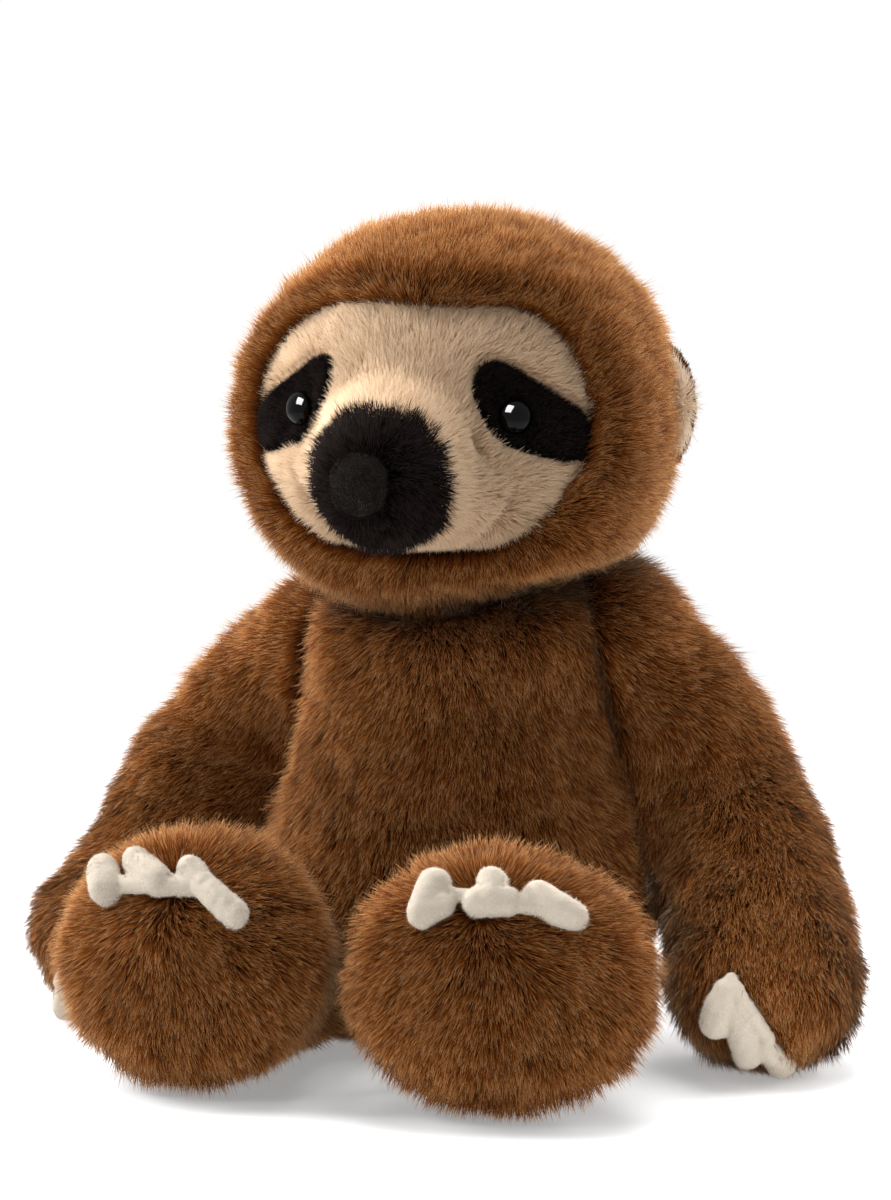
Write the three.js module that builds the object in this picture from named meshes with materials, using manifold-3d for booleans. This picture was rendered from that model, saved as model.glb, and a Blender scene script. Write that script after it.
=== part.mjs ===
// A seated plush sloth, in millimetres. +Z is up, it faces -Y, and its own left side is +X.
// Every cover is a shell of long-pile plush round a core of stuffing. The paired pieces are
// modelled on the left and mirrored for the right.
import * as THREE from 'three';
import { mergeVertices } from 'three/addons/utils/BufferGeometryUtils.js';
import Module from 'manifold-3d';

const wasm = await Module();
wasm.setup();

// Clearances and cuts
const seamGap = 0.4;
const sewnGap = 0.65;
const swingGap = 0.9;
const floorCut = 0.5;
const overrun = 10;

// Cover walls: the backing cloth and the pile that stands on it
const plushWall = 8.5;
const faceWall = 5;
const faceDrop = 8;

// Torso
const torsoHeight = 151;
const torsoHalfWidth = 72;
const torsoHalfDepth = 58;
// Height, width and depth at each ring of the torso, from the seat to the neck
const torsoShares = [
  [0, 0.72, 0.7],
  [0.04, 0.86, 0.84],
  [0.11, 0.945, 0.935],
  [0.22, 0.99, 0.99],
  [0.36, 1, 1],
  [0.5, 0.965, 0.96],
  [0.64, 0.9, 0.87],
  [0.77, 0.85, 0.78],
  [0.88, 0.815, 0.68],
  [0.95, 0.775, 0.52],
  [0.99, 0.65, 0.3],
];

// Seat pellet bag
const seatBagHalfWidth = 38;
const seatBagHalfDepth = 28;
const seatBagHeight = 20;

// Neck: a stuffed ball of plush that the head turns and nods on
const neckHeight = 158;
const neckRadius = 22;

// Head
const headHeight = 218;
const headHalfWidth = 76.5;
const headHalfDepth = 69.5;
const headHalfHeight = 68.5;
const headFullness = 2.15;
const jowlShare = 0.06;
const headCentre = new THREE.Vector3(0, 0, headHeight);

// Face: angles are seen from the centre of the head, in degrees from the middle of the snout
const snoutDip = 12;
const faceSideAngle = 66;
const faceTopAngle = 54;
const faceChinAngle = 38;
const snoutRise = 29;
const snoutAngle = 20;
const snoutPower = 3;
const muzzleAngle = 18.5;
const hoodBackAngle = 176;

// Nose
const noseHalfWidth = 10;
const noseHalfHeight = 11;
const noseHalfDepth = 7;
const noseSink = 2.5;
const noseLiftAngle = 3;

// Eyes: safety eyes with a shank and a locking washer
const eyeRadius = 6;
const eyeDome = 4.6;
const eyeSink = 1.2;
const eyeSideAngle = 39.5;
const eyeLiftAngle = 3.5;
const socketDepth = 6;
const socketAngle = 17;
const shankRadius = 2;
const shankReach = 6;
const washerRadius = 7.5;
const washerThickness = 1.6;

// Eye patches: teardrops that slope down and out
const patchWall = 2.2;
const patchSideAngle = 45.5;
const patchLiftAngle = 6;
const patchSlope = 20;
const patchLengthAngle = 24;
const patchHeightAngle = 14.5;
const patchTaperShare = 0.25;

// Ears
const earHalfHeight = 23;
const earReach = 12.5;
const earHalfThickness = 6.5;
const earPlaceX = 69;
const earPlaceY = 24;
const earLift = 2;
const liningHalfHeight = 17;
const liningReach = 10;
const liningHalfThickness = 5;
const liningForward = 4.5;

// Arms: the middle of the arm and its radius, from the shoulder to the hand
const shoulderX = 50;
const shoulderY = 14;
const shoulderZ = 134;
const shoulderRadius = 24.5;
const upperArmX = 70;
const upperArmY = 20;
const upperArmZ = 126;
const upperArmRadius = 27;
const elbowX = 84.5;
const elbowY = 28;
const elbowZ = 96;
const elbowRadius = 28.5;
const wristX = 105.5;
const wristY = 4;
const wristZ = 62;
const wristRadius = 32.5;
const handX = 119.5;
const handY = -20;
const handRadius = 34;
const liftPivotZ = 142;
const liftRange = 35;

// Legs and feet: the middle, half width and half height, from the hip to the foot
const hipX = 38;
const hipY = -30;
const hipZ = 31;
const hipRadius = 26;
const shinX = 45;
const shinY = -68;
const shinHalfWidth = 27.5;
const shinHalfHeight = 28.5;
const heelX = 50;
const heelY = -94;
const heelHalfWidth = 42;
const heelHalfHeight = 37.5;
const footX = 53.5;
const footY = -115;
const footHalfWidth = 53;
const footHalfHeight = 45.5;
const footDome = 27;
const soleTopShare = 0.55;
const soleFloorShare = -0.9;
const raiseRange = 20;
const droopRange = 35;
const footBagHalfWidth = 20;
const footBagHalfHeight = 15;
const footBagHalfDepth = 11;
const footBagForward = 6.7;
const footBagDrop = 4;

// Foot claws: three short claws joined by a web, along the top seam of the sole
const footClawRadius = 9;
const footClawLength = 8;
const footClawSpacing = 19.8;
const footClawThickness = 6.5;
const footClawLean = 8;
const footWebHeight = 9;
const footWebThickness = 5;

// Hand claws: three longer claws that hang over the front of the hand
const handClawRadius = 6.2;
const handClawLength = 17;
const handClawSpacing = 10.5;
const handClawThickness = 5.5;
const handClawTop = 30;
const handClawTurn = 5;
const handClawStagger = 5.5;
const handClawLean = 6;
const handWebHeight = 8;
const handWebThickness = 4.5;

// Facets of each form: round it and along it
const torsoAround = 24;
const headAround = 28;
const limbAround = 20;
const coreAround = 12;
const ballAround = 16;
const limbAlong = 7;
const capRings = 2;
const smallAround = 12;
const smallRings = 6;
const clawAround = 8;
const clawRings = 2;

const plush = new THREE.MeshStandardMaterial({ color: 0x6e4322, roughness: 0.95, metalness: 0 });
const cream = new THREE.MeshStandardMaterial({ color: 0xc09a6c, roughness: 0.95, metalness: 0 });
const black = new THREE.MeshStandardMaterial({ color: 0x0c0b0b, roughness: 0.95, metalness: 0 });
const velvet = new THREE.MeshStandardMaterial({ color: 0x1d1c1d, roughness: 0.9, metalness: 0 });
const velour = new THREE.MeshStandardMaterial({ color: 0xdcd8cf, roughness: 0.9, metalness: 0 });
const gloss = new THREE.MeshStandardMaterial({ color: 0x070606, roughness: 0.08, metalness: 0 });
const fibre = new THREE.MeshStandardMaterial({ color: 0xe8e6e0, roughness: 1, metalness: 0 });
const calico = new THREE.MeshStandardMaterial({ color: 0xcabf9f, roughness: 0.95, metalness: 0 });
const nylon = new THREE.MeshStandardMaterial({ color: 0xd8d8d4, roughness: 0.5, metalness: 0 });

const across = new THREE.Vector3(1, 0, 0);
const along = new THREE.Vector3(0, 1, 0);
const upwards = new THREE.Vector3(0, 0, 1);
const radians = THREE.MathUtils.degToRad;

// An indexed geometry with its faces pointing out.
function bodyOf(points, faces) {
  let volume = 0;
  for (let f = 0; f < faces.length; f += 3) {
    const [a, b, c] = [points[faces[f]], points[faces[f + 1]], points[faces[f + 2]]];
    volume += a.dot(b.clone().cross(c));
  }
  const index = volume > 0 ? faces : faces.slice().reverse();
  const geometry = new THREE.BufferGeometry().setFromPoints(points);
  geometry.setIndex(index);
  return geometry;
}

// A closed body from rings of points. An open run of rings is closed by a fan at each end, and
// a looped run joins its last ring to its first.
function ringBody(rings, looped = false) {
  const count = rings[0].length;
  const points = rings.flat();
  const faces = [];
  const bands = looped ? rings.length : rings.length - 1;
  for (let r = 0; r < bands; r += 1) {
    const near = r * count;
    const far = ((r + 1) % rings.length) * count;
    for (let k = 0; k < count; k += 1) {
      const next = (k + 1) % count;
      faces.push(near + k, near + next, far + next, near + k, far + next, far + k);
    }
  }
  if (!looped) {
    for (const r of [0, rings.length - 1]) {
      const hub = points.length;
      const middle = new THREE.Vector3();
      rings[r].forEach((point) => middle.addScaledVector(point, 1 / count));
      points.push(middle);
      for (let k = 0; k < count; k += 1) {
        const [a, b] = [r * count + k, r * count + ((k + 1) % count)];
        faces.push(...(r === 0 ? [hub, b, a] : [hub, a, b]));
      }
    }
  }
  return bodyOf(points, faces);
}

// A ring of points round a centre, on two half axes.
function ringOf(centre, sideways, upright, count) {
  return Array.from({ length: count }, (_, k) => {
    const angle = (2 * Math.PI * k) / count;
    const point = centre.clone().addScaledVector(sideways, Math.cos(angle));
    return point.addScaledVector(upright, Math.sin(angle));
  });
}

// An ellipsoid with its half axes along X, Y and Z.
function ellipsoid(centre, halfX, halfY, halfZ, around = smallAround, rings = smallRings) {
  const ball = new THREE.SphereGeometry(1, around, rings);
  return ball.scale(halfX, halfY, halfZ).translate(centre.x, centre.y, centre.z);
}

// A solid for cutting and joining.
function solidOf(geometry) {
  const bare = new THREE.BufferGeometry();
  bare.setAttribute('position', geometry.getAttribute('position'));
  bare.setIndex(geometry.getIndex());
  const merged = mergeVertices(bare);
  return new wasm.Manifold(new wasm.Mesh({
    numProp: 3,
    vertProperties: new Float32Array(merged.getAttribute('position').array),
    triVerts: new Uint32Array(merged.getIndex().array),
  }));
}

function geometryOf(solid) {
  const mesh = solid.getMesh();
  const geometry = new THREE.BufferGeometry();
  geometry.setAttribute('position', new THREE.BufferAttribute(mesh.vertProperties, mesh.numProp));
  geometry.setIndex(new THREE.BufferAttribute(mesh.triVerts, 1));
  return geometry;
}

// A geometry with other geometries cut away from it.
function cut(geometry, ...tools) {
  return geometryOf(tools.reduce((left, tool) => left.subtract(solidOf(tool)), solidOf(geometry)));
}

function joined(first, ...others) {
  return geometryOf(others.reduce((sum, other) => sum.add(solidOf(other)), solidOf(first)));
}

// A geometry turned about an axis through a pivot.
function turned(geometry, pivot, axis, degrees) {
  const copy = geometry.clone().translate(-pivot.x, -pivot.y, -pivot.z);
  copy.applyMatrix4(new THREE.Matrix4().makeRotationAxis(axis, radians(degrees)));
  return copy.translate(pivot.x, pivot.y, pivot.z);
}

// Everything under the floor, as a tool that cuts a form flat where it rests.
const overallReach = headHeight + headHalfHeight;
const underFloor = new THREE.BoxGeometry(2 * overallReach, 2 * overallReach, overallReach);
underFloor.translate(0, 0, -overallReach / 2);

// The torso's form, its rings moved in by an inset, or out by a negative one.
function torsoForm(inset, around = torsoAround) {
  const base = inset > 0 ? inset : -floorCut + inset;
  const top = torsoHeight - inset;
  return ringBody(torsoShares.map(([height, width, depth]) => ringOf(
    new THREE.Vector3(0, 0, base + (top - base) * height),
    across.clone().multiplyScalar(torsoHalfWidth * width - inset),
    along.clone().multiplyScalar(torsoHalfDepth * depth - inset),
    around,
  )));
}

const neckCentre = new THREE.Vector3(0, 0, neckHeight);
const neckSocket = ellipsoid(
  neckCentre,
  neckRadius + swingGap,
  neckRadius + swingGap,
  neckRadius + swingGap,
  torsoAround,
  torsoAround / 2,
);
const seatBagFloor = new THREE.Vector3(0, 0, plushWall + 2 * seamGap);

// The pellet bag's form: a low dome, grown by an allowance for its pocket.
function seatBagForm(allowance) {
  const dome = ellipsoid(
    seatBagFloor,
    seatBagHalfWidth + allowance,
    seatBagHalfDepth + allowance,
    seatBagHeight + allowance,
    ballAround,
    smallRings,
  );
  const below = underFloor.clone().translate(0, 0, seatBagFloor.z - allowance);
  return cut(dome, below);
}

function makeTorso() {
  return [
    ['body_cover', plush, cut(
      torsoForm(0),
      torsoForm(plushWall, ballAround),
      neckSocket,
      underFloor,
    )],
    ['body_stuffing', fibre, cut(
      torsoForm(plushWall + seamGap, ballAround),
      neckSocket,
      seatBagForm(seamGap),
    )],
    ['seat_pellet_bag', calico, seatBagForm(0)],
    ['neck', plush, ellipsoid(
      neckCentre,
      neckRadius,
      neckRadius,
      neckRadius,
      torsoAround,
      torsoAround / 2,
    )],
  ];
}

// The direction of the snout's middle, and the face's own upright
const snoutAxis = new THREE.Vector3(0, -Math.cos(radians(snoutDip)), -Math.sin(radians(snoutDip)));
const snoutUp = new THREE.Vector3(0, -Math.sin(radians(snoutDip)), Math.cos(radians(snoutDip)));

// Distance from the head's centre to the hood's surface. Its jowls are wider than its crown.
function hoodRadius(direction, inset = 0) {
  const taper = 1 - jowlShare * direction.z;
  const shares = [
    direction.x / (headHalfWidth - inset) / taper,
    direction.y / (headHalfDepth - inset) / taper,
    direction.z / (headHalfHeight - inset),
  ];
  const sum = shares.reduce((total, share) => total + Math.abs(share) ** headFullness, 0);
  return sum ** (-1 / headFullness);
}

// A direction from the head's centre, by its angle to the side and its angle above the level.
function sightLine(sideAngle, liftAngle) {
  const level = Math.cos(radians(liftAngle));
  return new THREE.Vector3(
    Math.sin(radians(sideAngle)) * level,
    -Math.cos(radians(sideAngle)) * level,
    Math.sin(radians(liftAngle)),
  );
}

const eyeAxis = sightLine(eyeSideAngle, eyeLiftAngle);

// Distance to the face's surface, which swells into the snout and dips into the eye sockets.
function faceRadius(direction, inset = 0) {
  const degrees = (axis) => THREE.MathUtils.radToDeg(direction.angleTo(axis));
  const swell = snoutRise * Math.exp(-((degrees(snoutAxis) / snoutAngle) ** snoutPower));
  const eyeTurn = degrees(sightLine(Math.sign(direction.x) * eyeSideAngle, eyeLiftAngle));
  const socket = socketDepth * Math.exp(-((eyeTurn / socketAngle) ** 2));
  return hoodRadius(direction, faceDrop) + swell - socket - inset;
}

// The angle of the face panel's edge, at a turn round the snout.
function faceEdge(turn) {
  const upright = Math.sin(turn) > 0 ? faceTopAngle : faceChinAngle;
  return 1 / Math.hypot(Math.cos(turn) / faceSideAngle, Math.sin(turn) / upright);
}

// Rings of points on a surface of the head, between two edges given as angles from an axis.
function headRings({ axis, up, from, to, radius, steps, start = 0, around = headAround }) {
  const side = up.clone().cross(axis);
  const rings = [];
  for (let s = start; s <= steps; s += 1) {
    rings.push(Array.from({ length: around }, (_, k) => {
      const turn = (2 * Math.PI * k) / around;
      const angle = radians(from(turn) + ((to(turn) - from(turn)) * s) / steps);
      const direction = axis.clone().multiplyScalar(Math.cos(angle));
      direction.addScaledVector(side, Math.sin(angle) * Math.cos(turn));
      direction.addScaledVector(up, Math.sin(angle) * Math.sin(turn));
      return headCentre.clone().addScaledVector(direction, radius(direction));
    }));
  }
  return rings;
}

const faceSpan = { axis: snoutAxis, up: snoutUp };
const gapAngle = THREE.MathUtils.radToDeg(seamGap / (headHalfHeight - faceDrop));
const muzzleZone = { ...faceSpan, from: () => 0, to: () => muzzleAngle, steps: 4, start: 1 };
const faceZone = { ...faceSpan, from: () => muzzleAngle + gapAngle, to: faceEdge, steps: 5 };
const hoodZone = {
  ...faceSpan,
  from: (turn) => faceEdge(turn) + gapAngle,
  to: () => hoodBackAngle,
  steps: 8,
};
const muzzleCore = { ...muzzleZone, steps: 2 };
const faceCore = { ...faceZone, steps: 3 };
const hoodCore = { ...hoodZone, steps: 5 };

// The face panel grown outwards by an allowance, which also cuts what lies on it.
function facePanelForm(allowance = 0) {
  const outer = headRings({ ...faceZone, radius: (d) => faceRadius(d) + allowance });
  const inner = headRings({ ...faceCore, radius: (d) => faceRadius(d, faceWall) });
  return ringBody([...outer, ...inner.reverse()], true);
}

function muzzleForm(allowance = 0) {
  const outer = headRings({ ...muzzleZone, radius: (d) => faceRadius(d) + allowance });
  const inner = headRings({ ...muzzleCore, radius: (d) => faceRadius(d, faceWall) });
  return ringBody([...outer, ...inner.reverse()]);
}

function hoodForm(allowance = 0) {
  const outer = headRings({ ...hoodZone, radius: (d) => hoodRadius(d) + allowance });
  const inner = headRings({ ...hoodCore, radius: (d) => hoodRadius(d, plushWall) });
  return ringBody([...inner.reverse(), ...outer]);
}

// The head filled in, up to its outer surfaces grown by an allowance.
function faceBlock(allowance) {
  const grown = (d) => faceRadius(d) + allowance;
  return ringBody([
    ...headRings({ ...muzzleZone, radius: grown }),
    ...headRings({ ...faceZone, radius: grown }),
  ]);
}

function hoodBlock(allowance) {
  return ringBody(headRings({ ...hoodZone, radius: (d) => hoodRadius(d) + allowance }));
}

// The stuffing runs from the back to the snout, as the covers' inner surfaces do.
function headStuffingForm() {
  const behindFace = (d) => faceRadius(d, faceWall + seamGap);
  const underHood = (d) => hoodRadius(d, plushWall + seamGap);
  return ringBody([
    ...headRings({ ...muzzleCore, radius: behindFace }),
    ...headRings({ ...faceCore, radius: behindFace }),
    ...headRings({ ...hoodCore, radius: underHood }),
  ].reverse());
}

// A revolved piece, its axis turned to point out of the head through the eye.
function onEyeAxis(geometry, distance) {
  const place = headCentre.clone().addScaledVector(eyeAxis, distance);
  geometry.applyQuaternion(new THREE.Quaternion().setFromUnitVectors(along, eyeAxis));
  return geometry.translate(place.x, place.y, place.z);
}

function eyeCylinder(radius, length, distance) {
  const bar = new THREE.CylinderGeometry(radius, radius, length, smallAround);
  return onEyeAxis(bar.translate(0, length / 2, 0), distance);
}

const eyeSeat = faceRadius(eyeAxis) + seamGap + patchWall - eyeSink;
const washerSeat = faceRadius(eyeAxis, faceWall) - seamGap - washerThickness;
const shankLength = eyeSeat - washerSeat + shankReach;

// The eye patch: a teardrop on the face, wide by the nose and narrow at its outer end.
function eyePatchForm() {
  const axis = sightLine(patchSideAngle, patchLiftAngle);
  const side = upwards.clone().cross(axis).normalize();
  const up = axis.clone().cross(side).applyAxisAngle(axis, radians(patchSlope));
  const edge = (turn) => {
    const taper = 1 - patchTaperShare * Math.cos(turn);
    return 1 / Math.hypot(
      Math.cos(turn) / patchLengthAngle,
      Math.sin(turn) / (patchHeightAngle * taper),
    );
  };
  const zone = { axis, up, from: () => 0, to: edge, steps: 3, start: 1, around: ballAround };
  const outer = headRings({ ...zone, radius: (d) => faceRadius(d) + seamGap + patchWall });
  const inner = headRings({ ...zone, radius: (d) => faceRadius(d) - faceWall / 2 });
  return ringBody([...outer, ...inner.reverse()]);
}

function makeEye() {
  const profile = [new THREE.Vector2(0, -shankLength)];
  profile.push(new THREE.Vector2(shankRadius, -shankLength));
  profile.push(new THREE.Vector2(shankRadius, 0));
  profile.push(new THREE.Vector2(eyeRadius, 0));
  for (let s = 1; s < smallRings; s += 1) {
    const angle = (s / smallRings) * (Math.PI / 2);
    profile.push(new THREE.Vector2(eyeRadius * Math.cos(angle), eyeDome * Math.sin(angle)));
  }
  profile.push(new THREE.Vector2(0, eyeDome));
  return onEyeAxis(new THREE.LatheGeometry(profile, smallAround), eyeSeat);
}

function makeWasher() {
  const bore = shankRadius + seamGap;
  const corners = [
    [bore, 0],
    [washerRadius, 0],
    [washerRadius, washerThickness],
    [bore, washerThickness],
    [bore, 0],
  ];
  const profile = corners.map(([radius, height]) => new THREE.Vector2(radius, height));
  return onEyeAxis(new THREE.LatheGeometry(profile, smallAround), washerSeat);
}

function mirroredGeometry(geometry) {
  const copy = geometry.clone().scale(-1, 1, 1);
  const index = copy.getIndex();
  for (let f = 0; f < index.count; f += 3) {
    const first = index.getX(f);
    index.setX(f, index.getX(f + 1));
    index.setX(f + 1, first);
  }
  return copy;
}

// The ear's form: a flat round pad that stands out of the side of the head.
function earForm(allowance = 0) {
  const centre = new THREE.Vector3(earPlaceX, earPlaceY, headHeight + earLift);
  return ellipsoid(
    centre,
    earReach + allowance,
    earHalfThickness + allowance,
    earHalfHeight + allowance,
    ballAround,
    ballAround / 2,
  );
}

function liningForm() {
  const centre = new THREE.Vector3(earPlaceX, earPlaceY - liningForward, headHeight + earLift);
  return ellipsoid(centre, liningReach, liningHalfThickness, liningHalfHeight, ballAround);
}

function makeHead() {
  const shankHole = eyeCylinder(shankRadius + seamGap, shankLength + seamGap, eyeSeat
    - shankLength - seamGap);
  const eyeRecess = eyeCylinder(eyeRadius + seamGap, overrun, eyeSeat - seamGap);
  const washerPocket = eyeCylinder(washerRadius + seamGap, overrun, washerSeat - seamGap);
  const holes = [shankHole, mirroredGeometry(shankHole)];
  const pockets = [washerPocket, mirroredGeometry(washerPocket)];
  const noseAxis = sightLine(0, noseLiftAngle - snoutDip);
  const snoutTip = faceRadius(noseAxis) + noseHalfDepth - noseSink;
  const nosePlace = headCentre.clone().addScaledVector(noseAxis, snoutTip);
  const nose = ellipsoid(nosePlace, noseHalfWidth, noseHalfDepth, noseHalfHeight);
  const grownHood = hoodBlock(sewnGap);
  const middle = [
    ['head_hood', plush, cut(hoodForm(), neckSocket)],
    ['face_panel', cream, cut(facePanelForm(), ...holes)],
    ['muzzle_patch', black, muzzleForm()],
    ['nose', velvet, cut(nose, muzzleForm(seamGap))],
    ['head_stuffing', fibre, cut(headStuffingForm(), neckSocket, ...holes, ...pockets)],
  ];
  const sided = [
    ['eye_patch', black, cut(
      eyePatchForm(),
      faceBlock(sewnGap),
      grownHood,
      shankHole,
      eyeRecess,
    )],
    ['eye', gloss, makeEye()],
    ['eye_washer', nylon, makeWasher()],
    ['ear', plush, cut(earForm(), grownHood)],
    ['ear_lining', cream, cut(liningForm(), earForm(seamGap), grownHood)],
  ];
  return { middle, sided };
}

// A limb's form along a smooth path of stations, with rounded ends. A station holds its centre
// and its half width and half height. Widths lie towards the reference direction, and the far
// end's cap may be a low dome.
function limbForm({ stations, reference, farCap }, inset, around) {
  const path = new THREE.CatmullRomCurve3(stations.map((s) => s.centre), false, 'centripetal');
  const sizes = new THREE.CatmullRomCurve3(
    stations.map((s) => new THREE.Vector3(s.halfWidth, s.halfHeight, 0)),
    false,
    'centripetal',
  );
  const ringAt = (share, shrink, shift) => {
    const tangent = path.getTangent(share);
    const sideways = reference.clone().addScaledVector(tangent, -tangent.dot(reference)).normalize();
    const upright = sideways.clone().cross(tangent).normalize();
    const size = sizes.getPoint(share);
    return ringOf(
      path.getPoint(share).addScaledVector(tangent, shift),
      sideways.multiplyScalar((size.x - inset) * shrink),
      upright.multiplyScalar((size.y - inset) * shrink),
      around,
    );
  };
  const rings = [];
  const nearCap = stations[0].halfWidth - inset;
  const capAngle = (step) => (Math.PI / 2) * (step / (capRings + 0.25));
  for (let s = capRings; s > 0; s -= 1) {
    rings.push(ringAt(0, Math.cos(capAngle(s)), -nearCap * Math.sin(capAngle(s))));
  }
  for (let s = 0; s <= limbAlong; s += 1) {
    rings.push(ringAt(s / limbAlong, 1, 0));
  }
  for (let s = 1; s <= capRings; s += 1) {
    rings.push(ringAt(1, Math.cos(capAngle(s)), (farCap - inset) * Math.sin(capAngle(s))));
  }
  return ringBody(rings);
}

const shoulder = new THREE.Vector3(shoulderX, shoulderY, shoulderZ);
const handZ = handRadius - floorCut;
const armStations = [
  { centre: shoulder, halfWidth: shoulderRadius, halfHeight: shoulderRadius },
  {
    centre: new THREE.Vector3(upperArmX, upperArmY, upperArmZ),
    halfWidth: upperArmRadius,
    halfHeight: upperArmRadius,
  },
  {
    centre: new THREE.Vector3(elbowX, elbowY, elbowZ),
    halfWidth: elbowRadius,
    halfHeight: elbowRadius,
  },
  {
    centre: new THREE.Vector3(wristX, wristY, wristZ),
    halfWidth: wristRadius,
    halfHeight: wristRadius,
  },
  {
    centre: new THREE.Vector3(handX, handY, handZ),
    halfWidth: handRadius,
    halfHeight: handRadius,
  },
];
const arm = { stations: armStations, reference: along, farCap: handRadius };
const armForm = (inset, around) => limbForm(arm, inset, around);

const hip = new THREE.Vector3(hipX, hipY, hipZ);
const footCentre = new THREE.Vector3(footX, footY, footHalfHeight - floorCut);
const legStations = [
  { centre: hip, halfWidth: hipRadius, halfHeight: hipRadius },
  {
    centre: new THREE.Vector3(shinX, shinY, shinHalfHeight),
    halfWidth: shinHalfWidth,
    halfHeight: shinHalfHeight,
  },
  {
    centre: new THREE.Vector3(heelX, heelY, heelHalfHeight),
    halfWidth: heelHalfWidth,
    halfHeight: heelHalfHeight,
  },
  { centre: footCentre, halfWidth: footHalfWidth, halfHeight: footHalfHeight },
];
const leg = { stations: legStations, reference: across, farCap: footDome };
const legForm = (inset, around) => limbForm(leg, inset, around);

// The torso at rest and at stages of a limb's swing, seen from the limb, so that the limb's
// sewn end clears it all the way.
function swingTools(pivot, axis, angles) {
  const swung = angles.map((angle) => turned(torsoForm(-swingGap), pivot, axis, -angle));
  return [torsoForm(-sewnGap), ...swung];
}

const liftPivot = new THREE.Vector3(shoulderX, shoulderY, liftPivotZ);
const liftTools = swingTools(liftPivot, along, [-liftRange / 3, (-2 * liftRange) / 3, -liftRange]);
const hipTools = swingTools(hip, across, [-raiseRange, droopRange / 2, droopRange]);

// The foot points out a little, along its leg. The sole's seam lies in a plane across its dome.
const legAxis = legStations[3].centre.clone().sub(legStations[2].centre).setZ(0).normalize();
const domeAt = (share) => footDome * Math.sqrt(1 - share * share);
const soleRise = footHalfHeight * (soleTopShare - soleFloorShare);
const soleLean = Math.atan2(domeAt(soleTopShare) - domeAt(soleFloorShare), soleRise);
const soleSide = legAxis.clone().cross(upwards).normalize();
const soleNormal = legAxis.clone().applyAxisAngle(soleSide, -soleLean);
const soleTop = footCentre.clone().addScaledVector(legAxis, domeAt(soleTopShare));
soleTop.addScaledVector(upwards, footHalfHeight * soleTopShare);

// The space in front of the sole's seam, moved by an offset, or the space behind it.
function soleTool(offset, inFront) {
  const size = 4 * footHalfWidth;
  const box = new THREE.BoxGeometry(size, size, size).translate(0, inFront ? size / 2 : -size / 2, 0);
  const frame = new THREE.Matrix4().makeBasis(
    soleNormal.clone().cross(soleSide),
    soleNormal,
    soleSide.clone(),
  );
  box.applyMatrix4(frame);
  const place = soleTop.clone().addScaledVector(soleNormal, offset);
  return box.translate(place.x, place.y, place.z);
}

const legTurn = Math.atan2(legAxis.x, -legAxis.y);

// An upright pillow of pellets behind the sole, grown by an allowance for its pocket.
function footBagForm(allowance) {
  const bag = new THREE.SphereGeometry(1, smallAround, smallRings);
  bag.scale(footBagHalfWidth + allowance, footBagHalfDepth + allowance, footBagHalfHeight + allowance);
  const middle = footCentre.clone().addScaledVector(legAxis, footBagForward);
  return bag.rotateZ(legTurn).translate(middle.x, middle.y, middle.z - footBagDrop);
}

// A strip of claws: flattened round-ended lobes that stand up from a web, in their own frame
// with X along the strip, Z up the claws and Y through their thickness. The stagger sets each
// claw that much further out than the one before it.
function clawStrip({ radius, length, spacing, stagger, thickness, webHeight, webThickness }) {
  const lobes = [-1, 0, 1].map((place) => {
    const lobe = new THREE.CapsuleGeometry(1, length / radius, clawRings, clawAround);
    lobe.rotateX(Math.PI / 2).scale(radius, thickness, radius);
    return lobe.translate(place * spacing, 0, length / 2 + place * stagger);
  });
  const web = ellipsoid(
    new THREE.Vector3(0, 0, 0),
    spacing + radius / 2,
    webThickness,
    webHeight,
    clawAround,
    2 * clawRings,
  );
  web.rotateY(-Math.atan2(stagger, spacing));
  return joined(web, ...lobes);
}

function makeFootClaws() {
  const strip = clawStrip({
    radius: footClawRadius,
    length: footClawLength,
    spacing: footClawSpacing,
    stagger: 0,
    thickness: footClawThickness,
    webHeight: footWebHeight,
    webThickness: footWebThickness,
  });
  strip.applyMatrix4(new THREE.Matrix4().makeRotationX(radians(footClawLean)));
  strip.applyMatrix4(new THREE.Matrix4().makeRotationZ(legTurn));
  strip.translate(soleTop.x, soleTop.y, soleTop.z);
  return cut(strip, legForm(-seamGap, limbAround));
}

function makeHandClaws() {
  const strip = clawStrip({
    radius: handClawRadius,
    length: handClawLength,
    spacing: handClawSpacing,
    stagger: handClawStagger,
    thickness: handClawThickness,
    webHeight: handWebHeight,
    webThickness: handWebThickness,
  });
  strip.applyMatrix4(new THREE.Matrix4().makeRotationX(Math.PI - radians(handClawLean)));
  strip.applyMatrix4(new THREE.Matrix4().makeRotationZ(radians(handClawTurn)));
  const turn = new THREE.Vector3(Math.sin(radians(handClawTurn)), -Math.cos(radians(handClawTurn)), 0);
  const place = armStations[4].centre.clone().addScaledVector(turn, handRadius);
  strip.translate(place.x, place.y, handClawTop);
  return cut(strip, armForm(-seamGap, limbAround), underFloor);
}

function makeLimbs() {
  const coreInset = plushWall + seamGap;
  return [
    ['arm_cover', plush, cut(
      armForm(0, limbAround),
      armForm(plushWall, coreAround),
      underFloor,
      ...liftTools,
    )],
    ['arm_stuffing', fibre, cut(armForm(coreInset, coreAround), ...liftTools)],
    ['hand_claws', velour, makeHandClaws()],
    ['leg_cover', plush, cut(
      legForm(0, limbAround),
      legForm(plushWall, coreAround),
      soleTool(-seamGap, true),
      underFloor,
      ...hipTools,
    )],
    ['foot_sole', plush, cut(legForm(0, limbAround), soleTool(0, false), underFloor)],
    ['leg_stuffing', fibre, cut(
      legForm(coreInset, coreAround),
      soleTool(-seamGap, true),
      footBagForm(seamGap),
      ...hipTools,
    )],
    ['foot_pellet_bag', calico, cut(footBagForm(0), soleTool(-2 * seamGap, true))],
    ['foot_claws', velour, makeFootClaws()],
  ];
}

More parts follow.
